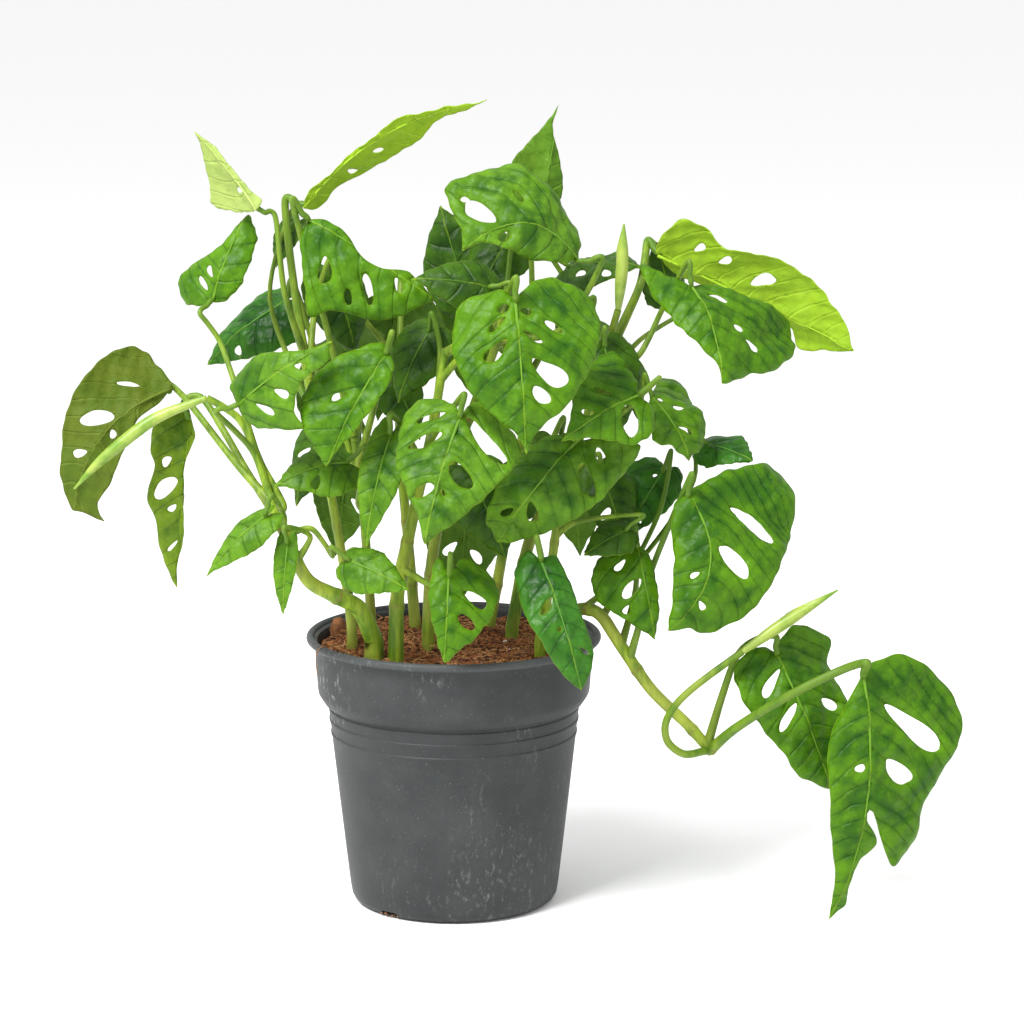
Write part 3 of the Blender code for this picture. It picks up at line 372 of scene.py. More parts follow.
scatter("coir_crumbs", 95000.0, 3, "crumb", 0.0013,
        plain("crumb", (0.040, 0.014, 0.005), 0.95, (0.30, 0.11, 0.036)), 3.0)
scatter("coir_fibres", 52000.0, 5, "fibre", 0.0085,
        plain("fibre", (0.22, 0.080, 0.025), 0.8, (0.62, 0.34, 0.13), 60.0), 0.35)
scatter("husk_chips", 16000.0, 8, "chip", 0.0026,
        plain("husk", (0.07, 0.026, 0.012), 0.85, (0.30, 0.14, 0.065), 120.0), 0.7)
scatter("perlite", 1100.0, 9, "crumb", 0.0011,
        plain("perlite", (0.62, 0.60, 0.54), 0.8, (0.85, 0.84, 0.80)), 3.0)

# Crumbs have washed out into the drain notch at the front left.
draw = random.Random(4)
points, faces = [], []
for crumb in range(26):
    turn = math.radians(NOTCH_TURNS[0] + draw.uniform(-6.5, 6.5))
    reach = draw.uniform(0.0522, 0.0590)
    middle = Vector((reach * math.cos(turn), reach * math.sin(turn), draw.uniform(.0008, .0030)))
    first = len(points)
    for axis in range(3):
        for way in (-1, 1):
            spot = middle.copy()
            spot[axis] += way * draw.uniform(0.0004, 0.0009)
            points.append(spot)
    faces += [(first + a, first + 2 + b, first + 4 + c) if (a + b + c) % 2 else
              (first + a, first + 4 + c, first + 2 + b)
              for a in (0, 1) for b in (0, 1) for c in (0, 1)]
crumb_paint = plain("notch_crumb", (0.10, 0.036, 0.012), 0.9, (0.34, 0.17, 0.08), 400.0)
piece("notch_crumbs", points, faces, crumb_paint, [])

# One flake of husk stands upright at the back left.
FLAKE_FOOT = Vector((-0.0655, 0.016, 0.1500))
FLAKE = [(-.006, 0), (-.0072, .006), (-.0050, .0115), (-.0012, .0128), (.0022, .0098),
         (.0058, .0072), (.0064, .0020), (.0052, 0)]
points = [FLAKE_FOOT + Vector((x, 0.10 * x + 0.25 * z + face * 0.0006 + 9 * x * x, z))
          for face in (-1, 1) for x, z in FLAKE]
count = len(FLAKE)
faces = [tuple(range(count)), tuple(range(2 * count - 1, count - 1, -1))]
faces += [(k, k + count, (k + 1) % count + count, (k + 1) % count) for k in range(count)]
flake_paint = plain("flake", (0.10, 0.036, 0.012), 0.85, (0.26, 0.11, 0.040), 160.0)
piece("husk_flake", points, faces, flake_paint, [])

# One coir fibre hangs over the lip.
LIP_FIBRE = [(-.0600, -.030, .1525), (-.0660, -.034, .1560), (-.0720, -.0385, .1592),
             (-.0772, -.0400, .1575), (-.0780, -.0415, .1500), (-.0768, -.0400, .1420)]
line = bpy.data.curves.new("lip_fibre", 'CURVE')
line.dimensions, line.bevel_depth, line.use_fill_caps = '3D', 0.00025, True
spline = line.splines.new('NURBS')
spline.points.add(len(LIP_FIBRE) - 1)
for spot, stop in zip(spline.points, LIP_FIBRE):
    spot.co = (*stop, 1)
spline.use_endpoint_u, spline.order_u = True, 4
item = put_in("lip_fibre", line)
shape = plain_mesh(item)
bpy.data.objects.remove(item)
shape.materials.clear()
shape.materials.append(plain("lip_fibre", (0.30, 0.13, 0.04), 0.8, (0.60, 0.34, 0.14), 60.0))
declare(put_in("lip_fibre", shape), [])

# The stems and leaf stalks
# Living round stems, yellow-green and smooth, jointed every few centimetres with a swollen
# ring and a brown scar. A stalk leaves each joint and thickens again under its blade.
paint = Paint("stem_green", 0.46, 0.25)
scar, dark = paint.attribute("mark")[:2]
streak = paint.noise(90, 4, 0.6, stretch=(2.2, 2.2, 0.35))
green = paint.mix(paint.ramp(streak, 0.35, 0.68), (0.070, 0.150, 0.006), (0.24, 0.35, 0.020))
low = paint.ramp(paint.parts(paint.place())[2], 0.15, 0.27, 0.50, 0.15)
green = paint.mix(paint.times(paint.ramp(paint.noise(26, 4), 0.40, 0.62), low), green,
                  (0.40, 0.41, 0.070))
green = paint.mix(dark, green, (0.065, 0.150, 0.008))
brown = paint.times(scar, paint.ramp(paint.noise(500, 3), 0.40, 0.62))
green = paint.mix(brown, green, (0.17, 0.085, 0.030))
stem_paint = paint.finish(green, paint.bump(streak, 0.0003, 0.5))

# The stems: name, radius in mm at the foot and at the end, points from the soil to the end.
STEMS = [
    ("stem_west", 5.4, 2.6, [(374, 640, -44), (359, 609, -50), (336, 596, -58), (308, 580, -64),
                             (290, 545, -66), (270, 500, -60)]),
    ("stem_northwest", 3.0, 1.9, [(352, 628, -18), (346, 580, -14), (332, 500, -8),
                                  (314, 410, -4), (302, 345, -2)]),
    ("stem_inner_west", 3.0, 2.0, [(372, 632, 8), (368, 570, 6), (362, 500, 4), (352, 425, 2)]),
    ("stem_front", 4.4, 2.2, [(396, 645, -50), (398, 590, -48), (410, 530, -44),
                              (430, 440, -38), (446, 350, -32)]),
    ("stem_middle", 3.6, 2.2, [(428, 630, -16), (432, 560, -14), (448, 480, -12),
                               (476, 400, -10), (502, 330, -8)]),
    ("stem_east", 3.8, 2.2, [(512, 628, 6), (530, 540, 8), (566, 460, 8), (598, 395, 6),
                             (612, 345, 4)]),
    ("stem_trailing", 3.8, 3.0, [(560, 640, -6), (574, 612, -12), (598, 613, -24),
                                 (620, 644, -30), (651, 689, -34), (687, 724, -38),
                                 (712, 752, -42)]),
    ("stem_southeast", 3.2, 2.0, [(540, 642, -34), (548, 590, -36), (556, 530, -36),
                                  (560, 490, -34)]),
    ("stem_back_west", 3.4, 2.0, [(415, 622, 36), (408, 540, 44), (400, 450, 50),
                                  (398, 370, 54)]),
    ("stem_back_east", 3.4, 2.0, [(490, 622, 38), (505, 540, 46), (520, 450, 54),
                                  (528, 370, 58)]),
]
# The leaves: name, stem, place along the stem, stalk joint, tip, turn and tilt of the
# upper face in degrees, width of each half in mm, bow of the midrib in mm, fold of the
# halves in degrees, points the stalk passes, and the holes (right, down, long, wide).
# The inner leaves are one solid with their stem.
LEAVES = [
    ("leaf_01", "stem_northwest", .98, (257, 211, -25), (195, 132, -10), (160, 20), (8, 13), 3, 30,
     [(284, 290, -24)], [(221, 160, 9, 5), (240, 190, 9, 5)]),
    ("leaf_02", "stem_west", .97, (212, 303, -15), (248, 214, 0), (-20, 20), (20, 24), 5, -12,
     [(240, 400, -40), (219, 340, -24)],
     [(203, 283, 14, 5), (210, 271, 11, 5), (214, 252, 9, 4)]),
    ("leaf_03", "stem_northwest", .80, (303, 208, 12), (487, 101, -10), (184, 52), (22, 26), 9, 12,
     [(296, 300, 12)], [(352, 170, 10, 5), (378, 150, 10, 5)]),
    ("leaf_04", "stem_northwest", .72, (298, 222, 28), (276, 268, 30), (-40, 10), (10, 10), 2, 20,
     [(270, 300, 26)], []),
    ("leaf_05", "stem_inner_west", .95, (306, 218, -34), (434, 300, -44), (-6, 28), (34, 15), 7, -8,
     [(330, 340, -4)],
     [(325, 270, 22, 9), (348, 296, 13, 6), (368, 288, 24, 7), (399, 285, 15, 7),
      (330, 237, 12, 3)]),
    ("leaf_06", "stem_middle", .85, (470, 300, 14), (440, 205, 26), (-15, 12), (24, 24), 4, -10,
     [(474, 350, 8)], [(455, 250, 14, 6), (482, 268, 12, 6)]),
    ("leaf_07", "stem_middle", .97, (580, 262, -34), (462, 250, -56), (4, 24), (32, 24), 10, -4,
     [(560, 330, -16)],
     [(480, 212, 32, 11), (465, 199, 12, 5), (520, 196, 12, 5), (505, 236, 12, 5)]),
    ("leaf_08", "stem_back_east", .97, (538, 206, 24), (559, 104, 34), (196, 8), (15, 22), -4, 14,
     [(532, 290, 50)], []),
    ("leaf_09", "stem_front", .90, (492, 288, -56), (412, 279, -58), (-10, 30), (15, 15), 5, -10,
     [(490, 320, -46)], [(455, 284, 10, 5)]),
    ("leaf_10", "stem_front", .99, (515, 298, -92), (526, 455, -112), (4, 22), (33, 46), 9, -9,
     [(490, 322, -62)],
     [(504, 308, 10, 5), (526, 310, 10, 5), (497, 324, 18, 4), (496, 351, 24, 9),
      (533, 337, 16, 4), (553, 326, 15, 5), (550, 373, 33, 13), (541, 395, 20, 8)]),
    ("leaf_11", "stem_east", .90, (566, 268, 34), (642, 268, 10), (10, 66), (26, 26), 4, -8,
     [(590, 320, 30)], [(580, 272, 12, 7), (606, 272, 14, 8)]),
    ("leaf_13", "stem_east", .99, (657, 255, 20), (855, 350, 4), (186, 34), (26, 30), 8, 16,
     [(640, 285, 12)],
     [(726, 259, 12, 6), (764, 279, 26, 8), (700, 248, 10, 5)]),
    ("leaf_14", "stem_east", .93, (690, 284, -26), (722, 384, -56), (14, 34), (30, 40), 8, -12,
     [(638, 356, -6), (660, 314, -2)],
     [(716, 338, 20, 10), (738, 328, 10, 4), (718, 297, 16, 4), (700, 305, 9, 4),
      (752, 346, 14, 4)]),
    ("leaf_15", "stem_east", .86, (668, 300, 34), (655, 240, 34), (20, 20), (14, 14), 3, -8,
     [(640, 340, 26)], [(661, 270, 10, 5)]),
    ("leaf_16", "stem_east", .80, (641, 394, -62), (562, 441, -80), (-4, 28), (28, 27), 7, -8,
     [(600, 430, -34)],
     [(630, 418, 32, 15), (602, 390, 16, 5), (588, 412, 12, 4)]),
    ("leaf_17", "stem_trailing", .10, (704, 444, -2), (754, 462, -24), (30, 24), (14, 18), 3, -10,
     [(640, 560, 0), (694, 480, 6)],
     [(729, 434, 18, 8), (716, 444, 7, 4), (730, 460, 10, 4)]),
    ("leaf_18", "stem_trailing", .50, (688, 494, -56), (668, 631, -76), (6, 12), (24, 50), 8, -8,
     [(640, 622, -40), (652, 569, -28)],
     [(752, 524, 42, 10), (734, 561, 38, 10), (702, 606, 34, 10), (704, 530, 10, 5),
      (695, 575, 8, 4)]),
    ("leaf_19", "stem_trailing", .44, (637, 545, -34), (655, 640, -48), (4, 12), (21, 12), 6, -10,
     [(636, 586, -16)],
     [(632, 588, 22, 9), (627, 610, 16, 9), (620, 565, 11, 5)]),
    ("leaf_20", "stem_southeast", .96, (578, 440, -58), (497, 543, -70), (-4, 26), (30, 36), 10, -12,
     [(568, 468, -40)],
     [(507, 512, 13, 5), (532, 512, 42, 13), (552, 473, 22, 7), (586, 479, 30, 9),
      (600, 455, 14, 6)]),
    ("leaf_21", "stem_front", .70, (461, 415, -92), (424, 546, -118), (-8, 26), (30, 31), 9, -10,
     [(444, 420, -58)],
     [(426, 440, 29, 8), (432, 416, 22, 6), (486, 442, 45, 11), (460, 475, 28, 10),
      (442, 492, 13, 5), (424, 490, 20, 7)]),
    ("leaf_22", "stem_front", .26, (449, 574, -88), (444, 665, -104), (2, 26), (14, 26), 6, -9,
     [(445, 590, -66)],
     [(447, 602, 8, 5), (475, 599, 25, 7), (466, 622, 19, 7), (447, 629, 10, 4)]),
    ("leaf_23", "stem_southeast", .22, (540, 558, -84), (582, 692, -114), (10, 20), (18, 15), 8, -10,
     [(546, 582, -52)],
     [(541, 573, 12, 6), (547, 606, 22, 7), (560, 629, 10, 5), (568, 645, 15, 6),
      (584, 651, 10, 3)]),
    ("leaf_24", "stem_west", .96, (238, 406, -66), (332, 341, -88), (-14, 24), (24, 22), 7, -10,
     [(252, 450, -54)],
     [(255, 390, 13, 6), (265, 409, 18, 5), (281, 393, 12, 6), (300, 366, 12, 5)]),
    ("leaf_25", "stem_inner_west", .80, (388, 352, -72), (326, 468, -84), (-14, 22), (26, 18), 7, 14,
     [(376, 400, -30)],
     [(367, 386, 16, 3), (338, 396, 14, 4)]),
    ("leaf_26", "stem_west", .99, (172, 389, -14), (74, 508, -30), (165, 12), (22, 26), -12, 14,
     [(235, 462, -44), (190, 404, -20)],
     [(128, 385, 20, 3), (98, 418, 30, 10), (80, 453, 14, 5), (76, 482, 34, 8),
      (113, 434, 10, 5)]),
    ("leaf_28", "stem_west", .88, (190, 416, 6), (177, 590, -4), (-24, 6), (14, 17), 5, 24,
     [(246, 470, -30), (204, 400, -4)],
     [(166, 461, 11, 6), (166, 487, 24, 10), (172, 508, 9, 4), (172, 546, 20, 3)]),
    ("leaf_29", "stem_west", .84, (268, 514, -84), (207, 576, -92), (-30, 34), (10, 12), 4, -10,
     [(284, 516, -72)], [(253, 531, 9, 5)]),
    ("leaf_30", "stem_west", .66, (288, 540, -84), (283, 616, -86), (-10, 10), (7, 7), 3, 16,
     [(310, 536, -74)], []),
    ("leaf_31", "stem_northwest", .60, (288, 300, 46), (206, 366, 40), (-40, 26), (20, 24), 5, -10,
     [(316, 360, 26)], [(250, 326, 12, 6), (238, 350, 12, 6)]),
    ("leaf_32", "stem_inner_west", .60, (350, 462, -46), (274, 486, -60), (-34, 30), (17, 19), 5, -10,
     [(358, 500, -20)], [(316, 482, 12, 6), (300, 474, 10, 5)]),
    ("leaf_33", "stem_front", .60, (392, 432, -66), (366, 548, -80), (-18, 20), (12, 15), 6, 12,
     [(404, 430, -56)], [(372, 500, 14, 5)]),
    ("leaf_34", "stem_west", .80, (348, 560, -74), (410, 591, -90), (-10, 34), (15, 13), 4, -10,
     [(312, 529, -70), (332, 556, -66)], [(366, 566, 10, 6), (384, 556, 8, 4)]),
    ("leaf_35", "stem_trailing", .97, (775, 652, -46), (830, 790, -58), (16, 16), (22, 34), 8, -12,
     [(738, 654, -40)],
     [(771, 684, 31, 8), (789, 717, 33, 8), (808, 734, 34, 6), (820, 750, 30, 5),
      (830, 704, 18, 7)]),
    ("leaf_36", "stem_trailing", .99, (863, 672, -92), (829, 921, -84), (8, 10), (24, 56), 10, -10,
     [(736, 728, -56), (790, 695, -82), (844, 669, -88)],
     [(914, 729, 57, 14), (898, 772, 32, 11), (860, 768, 9, 5)]),
    ("leaf_37", "stem_trailing", .30, (664, 470, 6), (624, 540, -8), (-10, 20), (22, 15), 5, -10,
     [(628, 575, -8), (660, 510, -12)], [(640, 520, 26, 5), (655, 475, 12, 5)]),
    ("leaf_38", "stem_southeast", .70, (628, 530, -42), (583, 556, -52), (-10, 36), (12, 12), 3, -8,
     [(580, 521, -38)], []),
    ("leaf_39", "stem_east", .84, (650, 396, -22), (690, 460, -46), (20, 34), (18, 22), 6, -10,
     [(638, 400, -14)],
     [(660, 400, 9, 4), (678, 407, 10, 5), (686, 430, 12, 4)]),
    ("leaf_40", "stem_middle", .60, (470, 470, -42), (506, 560, -50), (6, 16), (20, 22), 6, -10,
     [(468, 468, -26)], [(492, 510, 16, 7), (478, 500, 12, 5)]),
    ("leaf_41", "stem_back_west", .98, (352, 330, 66), (300, 420, 92), (-140, 26), (26, 24), 8, -10,
     [(384, 344, 58)], [(312, 360, 16, 7), (330, 390, 16, 7)]),
    ("leaf_42", "stem_back_west", .94, (400, 300, 80), (378, 420, 112), (-172, 26), (30, 28), 9, -10,
     [(400, 340, 64)], [(374, 350, 18, 8), (400, 366, 18, 8)]),
    ("leaf_43", "stem_back_west", .70, (360, 440, 84), (336, 556, 112), (-160, 20), (28, 26), 8, -10,
     [(380, 460, 62)], [(336, 490, 18, 8), (358, 506, 18, 7)]),
    ("leaf_44", "stem_back_east", .97, (486, 290, 92), (480, 410, 124), (176, 24), (30, 31), 9, -10,
     [(498, 333, 62)], [(464, 350, 18, 8), (498, 356, 20, 8)]),
    ("leaf_45", "stem_back_east", .96, (590, 320, 78), (640, 420, 106), (140, 26), (27, 28), 8, -10,
     [(545, 350, 64)], [(602, 372, 18, 8), (628, 366, 18, 8)]),
    ("leaf_46", "stem_back_east", .70, (560, 440, 92), (580, 556, 120), (160, 22), (28, 27), 8, -10,
     [(535, 470, 66)], [(556, 492, 18, 8), (584, 500, 18, 7)]),
    ("leaf_47", "stem_back_east", .40, (470, 500, 100), (456, 606, 126), (180, 18), (25, 26), 7, -10,
     [(485, 530, 66)], [(450, 548, 16, 7), (476, 556, 16, 7)]),
    ("inner_01", "stem_inner_west", .70, (330, 420, 18), (296, 506, 6), (-30, 20), (17, 19), 5,
     -10, [(346, 440, 4)], [(318, 462, 18, 6), (304, 452, 14, 5)]),
    ("inner_03", "stem_middle", .92, (508, 240, 6), (476, 306, -4), (-10, 30), (19, 17), 5,
     -10, [(506, 290, -12)], [(498, 262, 16, 6), (484, 276, 12, 6)]),
    ("inner_04", "stem_front", .84, (430, 330, -8), (398, 404, -14), (-20, 24), (18, 18), 5,
     -10, [(440, 348, -16)], [(412, 366, 16, 6)]),
    ("inner_05", "stem_east", .74, (604, 344, -22), (618, 440, -30), (14, 20), (19, 20), 6,
     -10, [(598, 358, -8)], [(604, 392, 18, 7), (624, 400, 14, 6)]),
    ("inner_06", "stem_east", .50, (600, 470, -10), (626, 556, -22), (12, 20), (16, 17), 5,
     -10, [(580, 468, 0)], [(606, 514, 16, 6)]),
    ("inner_09", "stem_northwest", .88, (330, 270, 30), (356, 356, 40), (10, 26), (20, 18), 5,
     -10, [(316, 300, 18)], [(344, 310, 16, 6)]),
    ("inner_10", "stem_inner_west", .92, (384, 360, 22), (420, 440, 16), (10, 26), (17, 16), 5,
     -10, [(368, 384, 10)], [(402, 398, 14, 6)]),
    ("inner_12", "stem_southeast", .86, (520, 470, 2), (496, 548, -14), (-8, 20), (17, 18), 5,
     -10, [(546, 486, -20)], [(506, 508, 16, 6)]),
]

# New leaves still rolled up: name, stem, place along it, points out to the tip, and how
# many of them the stalk passes.
SPEARS = [
    ("spear_west", "stem_west", .93, [(283, 505, -58), (262, 466, -50), (240, 420, -44),
                                      (207, 398, -44), (159, 417, -46), (126, 440, -48),
                                      (97, 464, -50), (74, 489, -52)], 4),
    ("spear_east", "stem_east", .97, [(607, 350, -2), (618, 310, -6), (622, 262, -8),
                                      (624, 224, -8)], 2),
    ("spear_trailing", "stem_trailing", .99, [(700, 752, -48), (684, 754, -54), (668, 742, -58),
                                              (666, 722, -60), (680, 700, -60), (706, 678, -60),
                                              (742, 652, -58), (776, 628, -56), (803, 611, -54),
                                              (838, 590, -52)], 7),
]

# Outlines of the leaves seen from the front, on the same drawing, once around from the
# stalk joint, with the sideways bend of the midrib in mm in front.
OUTLINES = {
    "leaf_01": (0, [(262, 200), (250, 190), (236, 172), (214, 146), (195, 132), (206, 166),
                    (211, 190), (214, 206), (238, 212)]),
    "leaf_02": (0, [(226, 300), (240, 284), (252, 258), (256, 232), (248, 214), (232, 232),
                    (214, 250), (192, 264), (178, 283), (186, 303), (200, 306)]),
    "leaf_03": (-9, [(306, 194), (327, 175), (361, 145), (397, 119), (440, 107), (487, 101),
                     (440, 119), (414, 142), (371, 168), (337, 187), (318, 206)]),
    "leaf_05": (0, [(324, 220), (345, 232), (362, 256), (382, 268), (410, 272), (434, 300),
                    (404, 314), (380, 320), (350, 314), (330, 310), (309, 316), (304, 280),
                    (300, 244)]),
    "leaf_07": (-16, [(577, 230), (560, 200), (536, 176), (512, 163), (478, 172), (446, 186),
                    (452, 210), (462, 234), (462, 250), (484, 242), (510, 250), (548, 262)]),
    "leaf_08": (0, [(550, 204), (562, 194), (560, 160), (552, 128), (559, 104), (545, 124),
                    (530, 140), (512, 162), (508, 185), (522, 204)]),
    "leaf_10": (0, [(530, 284), (552, 276), (579, 290), (595, 305), (600, 333), (591, 367),
                    (570, 402), (538, 432), (526, 455), (516, 434), (487, 411), (466, 384),
                    (454, 356), (453, 326), (463, 302), (484, 292), (502, 290)]),
    "leaf_13": (5, [(659, 238), (671, 225), (685, 219), (709, 229), (724, 246), (771, 256),
                    (811, 279), (841, 314), (855, 350), (828, 350), (798, 346), (790, 326),
                    (756, 312), (712, 288), (674, 272)]),
    "leaf_14": (2, [(712, 284), (740, 293), (775, 307), (790, 324), (795, 350), (776, 369),
                    (752, 375), (722, 384), (716, 362), (686, 332), (655, 298), (640, 266),
                    (664, 272)]),
    "leaf_16": (0, [(632, 370), (609, 352), (588, 368), (574, 394), (570, 420), (562, 441),
                    (596, 438), (628, 443), (650, 436), (655, 412)]),
    "leaf_18": (17, [(702, 482), (730, 470), (764, 464), (786, 478), (795, 503), (792, 530),
                    (782, 562), (754, 608), (714, 632), (690, 630), (668, 631), (672, 600),
                    (674, 560), (672, 524), (675, 502)]),
    "leaf_19": (0, [(650, 556), (657, 584), (659, 612), (655, 640), (638, 628), (616, 614),
                    (597, 600), (592, 574), (604, 553), (622, 543)]),
    "leaf_20": (0, [(604, 436), (640, 446), (626, 470), (600, 500), (560, 526), (520, 541),
                    (497, 543), (487, 520), (496, 486), (520, 454), (548, 436)]),
    "leaf_21": (0, [(476, 402), (500, 415), (520, 448), (512, 469), (490, 492), (466, 514),
                    (441, 532), (424, 546), (418, 520), (406, 490), (396, 460), (400, 428),
                    (412, 405), (434, 397), (452, 402)]),
    "leaf_22": (0, [(464, 559), (484, 568), (498, 588), (494, 612), (476, 637), (458, 652),
                    (444, 665), (438, 644), (432, 620), (429, 592), (437, 557)]),
    "leaf_23": (0, [(556, 556), (570, 582), (581, 613), (591, 640), (593, 664), (582, 692),
                    (560, 671), (543, 644), (528, 621), (520, 598), (515, 572), (526, 551)]),
    "leaf_24": (0, [(249, 425), (272, 429), (303, 428), (294, 412), (299, 384), (326, 362),
                    (332, 341), (300, 350), (258, 355), (238, 372), (230, 388)]),
    "leaf_25": (0, [(394, 366), (388, 384), (372, 408), (352, 434), (338, 448), (326, 468),
                    (313, 446), (303, 428), (301, 402), (314, 376), (338, 356), (364, 345),
                    (382, 342)]),
    "leaf_26": (13, [(164, 374), (147, 353), (122, 348), (92, 368), (67, 410), (61, 464),
                     (66, 496), (80, 514), (104, 521), (98, 504), (110, 484), (124, 450),
                     (138, 420), (158, 404)]),
    "leaf_28": (2, [(194, 436), (185, 464), (183, 502), (184, 529), (178, 560), (177, 590),
                    (161, 552), (155, 521), (147, 497), (154, 468), (150, 449), (154, 426),
                    (172, 410)]),
    "leaf_35": (0, [(762, 646), (744, 654), (734, 674), (740, 694), (752, 713), (776, 744),
                    (800, 776), (830, 790), (846, 756), (850, 722), (846, 697), (828, 664),
                    (830, 640), (802, 625), (784, 634)]),
    "leaf_36": (10, [(876, 660), (907, 656), (938, 676), (962, 716), (958, 744), (941, 775),
                     (922, 810), (916, 838), (896, 866), (886, 854), (873, 812), (867, 820),
                     (877, 842), (860, 862), (849, 886), (846, 906), (829, 921), (835, 880),
                     (833, 851), (830, 798), (829, 742), (846, 706), (855, 690)]),
    "leaf_39": (0, [(668, 378), (690, 398), (706, 428), (702, 446), (690, 460), (672, 447),
                    (655, 440), (648, 416)]),
}


def seen(right, down, depth):
    """The point at that depth which the eye sees at that square of the drawing."""
    side, rise = (right - SQUARES / 2) / FOCAL, (SQUARES / 2 - down) / FOCAL
    ray = Vector((side, math.cos(PITCH) + rise * math.sin(PITCH),
                  rise * math.cos(PITCH) - math.sin(PITCH)))
    return EYE + ray * ((depth * 0.001 - EYE.y) / ray.y)


def curve_between(p, q, r, s, pieces):
    """Points of a smooth curve from q on toward r, between its neighbours p and s."""
    return [0.5 * (2 * q + (r - p) * t + (2 * p - 5 * q + 4 * r - s) * t * t
                   + (3 * q - p - 3 * r + s) * t ** 3)
            for t in (step / pieces for step in range(pieces))]


def smooth_path(points, pieces):
    """A curve through all the points, with that many pieces between neighbours."""
    ends = [points[0] * 2 - points[1], *points, points[-1] * 2 - points[-2]]
    path = []
    for i in range(1, len(ends) - 2):
        path += curve_between(*ends[i - 1:i + 3], pieces)
    return path + [points[-1]]


def point_along(path, share):
    """The point at that share of the path's length, and the direction there."""
    lengths = [(b - a).length for a, b in zip(path, path[1:])]
    left = share * sum(lengths)
    for a, b, length in zip(path, path[1:], lengths):
        if left <= length or b is path[-1]:
            return a.lerp(b, min(left / length, 1.0)), (b - a).normalized()
        left -= length


class Blade:
    """The curved middle surface of one leaf, over a flat plan of along and across."""

    def __init__(self, name, joint, tip, face, halves, bow, fold):
        turn, tilt = math.radians(face[0]), math.radians(face[1])
        facing = Vector((math.sin(turn) * math.cos(tilt), -math.cos(turn) * math.cos(tilt),
                         math.sin(tilt)))
        self.joint = seen(*joint)
        self.length = (seen(*tip) - self.joint).length
        self.along = (seen(*tip) - self.joint).normalized()
        self.up = (facing - self.along * facing.dot(self.along)).normalized()
        self.across = self.up.cross(self.along)
        self.halves = [h * 0.001 for h in halves]
        self.bow = bow * 0.001
        self.fold = math.radians(fold)
        self.wave = 0.045 * sum(self.halves)
        self.curl = 0.14 / max(self.halves)
        self.phase = joint[0] * 0.37 + joint[1] * 0.11
        bend, self.drawn = OUTLINES.get(name, (0, []))
        self.bend = bend * 0.001

    def midrib(self, a):
        """How far across the midrib runs at that distance along."""
        t = np.clip(a / self.length, 0.0, 1.0)
        return 4 * self.bend * t * (1 - t)

    def at_many(self, a, b, relief=0.0):
        """Points of the middle surface over arrays of places of the plan."""
        t = a / self.length
        middle = self.midrib(a)
        b = b - middle
        slope = 4 * self.bow / self.length * (1 - 2 * np.maximum(0.0, t))
        rise = 4 * self.bow * np.where(t > 0, t * (1 - t), t)
        up = np.array(self.up)[None] - np.array(self.along)[None] * slope[:, None]
        up /= np.linalg.norm(up, axis=1)[:, None]
        half = np.where(b > 0, self.halves[1], self.halves[0])
        edge = np.minimum(np.abs(b) / half, 1.2)
        lift = np.abs(b) * math.sin(self.fold) - b * b * self.curl
        lift += self.wave * edge * edge * np.sin(9.0 * t + self.phase + np.where(b > 0, 2.1, 0))
        lift += relief
        return (np.array(self.joint)[None] + np.array(self.along)[None] * a[:, None]
                + np.array(self.up)[None] * rise[:, None]
                + np.array(self.across)[None] * (middle + b * math.cos(self.fold))[:, None]
                + up * lift[:, None])

    def at(self, a, b):
        return Vector(self.at_many(np.array([a]), np.array([b]))[0])

    def normal(self, a, b):
        """The direction out of the upper face over (a, b)."""
        step = 0.0008
        return (self.at(a + step, b) - self.at(a - step, b)).cross(
            self.at(a, b + step) - self.at(a, b - step)).normalized() * -1

    def under(self, right, down):
        """The place of the plan whose point the eye sees at that square of the drawing."""
        ray = seen(right, down, 0) - EYE
        a = b = 0.0
        for step in range(14):
            point = self.at(a, b)
            spot = EYE + ray * ((point - EYE).dot(self.up) / ray.dot(self.up))
            a += (spot - point).dot(self.along) * (1.0 if step == 0 else 0.8)
            b += (spot - point).dot(self.across) * (1.0 if step == 0 else 0.8)
        return a, b


def mark_points(mesh, name, values):
    """Three numbers on every point of a mesh, for the paint to read."""
    mesh.attributes.new(name, 'FLOAT_VECTOR', 'POINT').data.foreach_set(
        "vector", np.array(values).ravel())


def tubes(name, lines, stands_for):
    """Round stems along lines of (point, radius, scar, dark)."""
    mesh = bpy.data.meshes.new(name)
    edges, first = [], 0
    for line in lines:
        edges += [(first + i, first + i + 1) for i in range(len(line) - 1)]
        first += len(line)
    stops = [stop for line in lines for stop in line]
    mesh.from_pydata([tuple(stop[0]) for stop in stops], edges, [])
    mesh.attributes.new("thick", 'FLOAT', 'POINT').data.foreach_set(
        "value", [stop[1] for stop in stops])
    mark_points(mesh, "mark", [(stop[2], stop[3], 0.0) for stop in stops])
    tree = Growth(name, Sides=14, Scale=1.0)
    width = tree.make("ShaderNodeMath", {"operation": 'MULTIPLY'},
                      i0=tree.make("GeometryNodeInputNamedAttribute", Name="thick"),
                      i1=tree.given["Scale"])
    curve = tree.make("GeometryNodeMeshToCurve", i0=tree.given["Geometry"])
    shape = tree.make("GeometryNodeSetShadeSmooth",
                      i0=tree.tube(curve, tree.given["Sides"], 1.0, Scale=width))
    tree.grow(mesh, shape, stem_paint, stands_for, "stem_green")


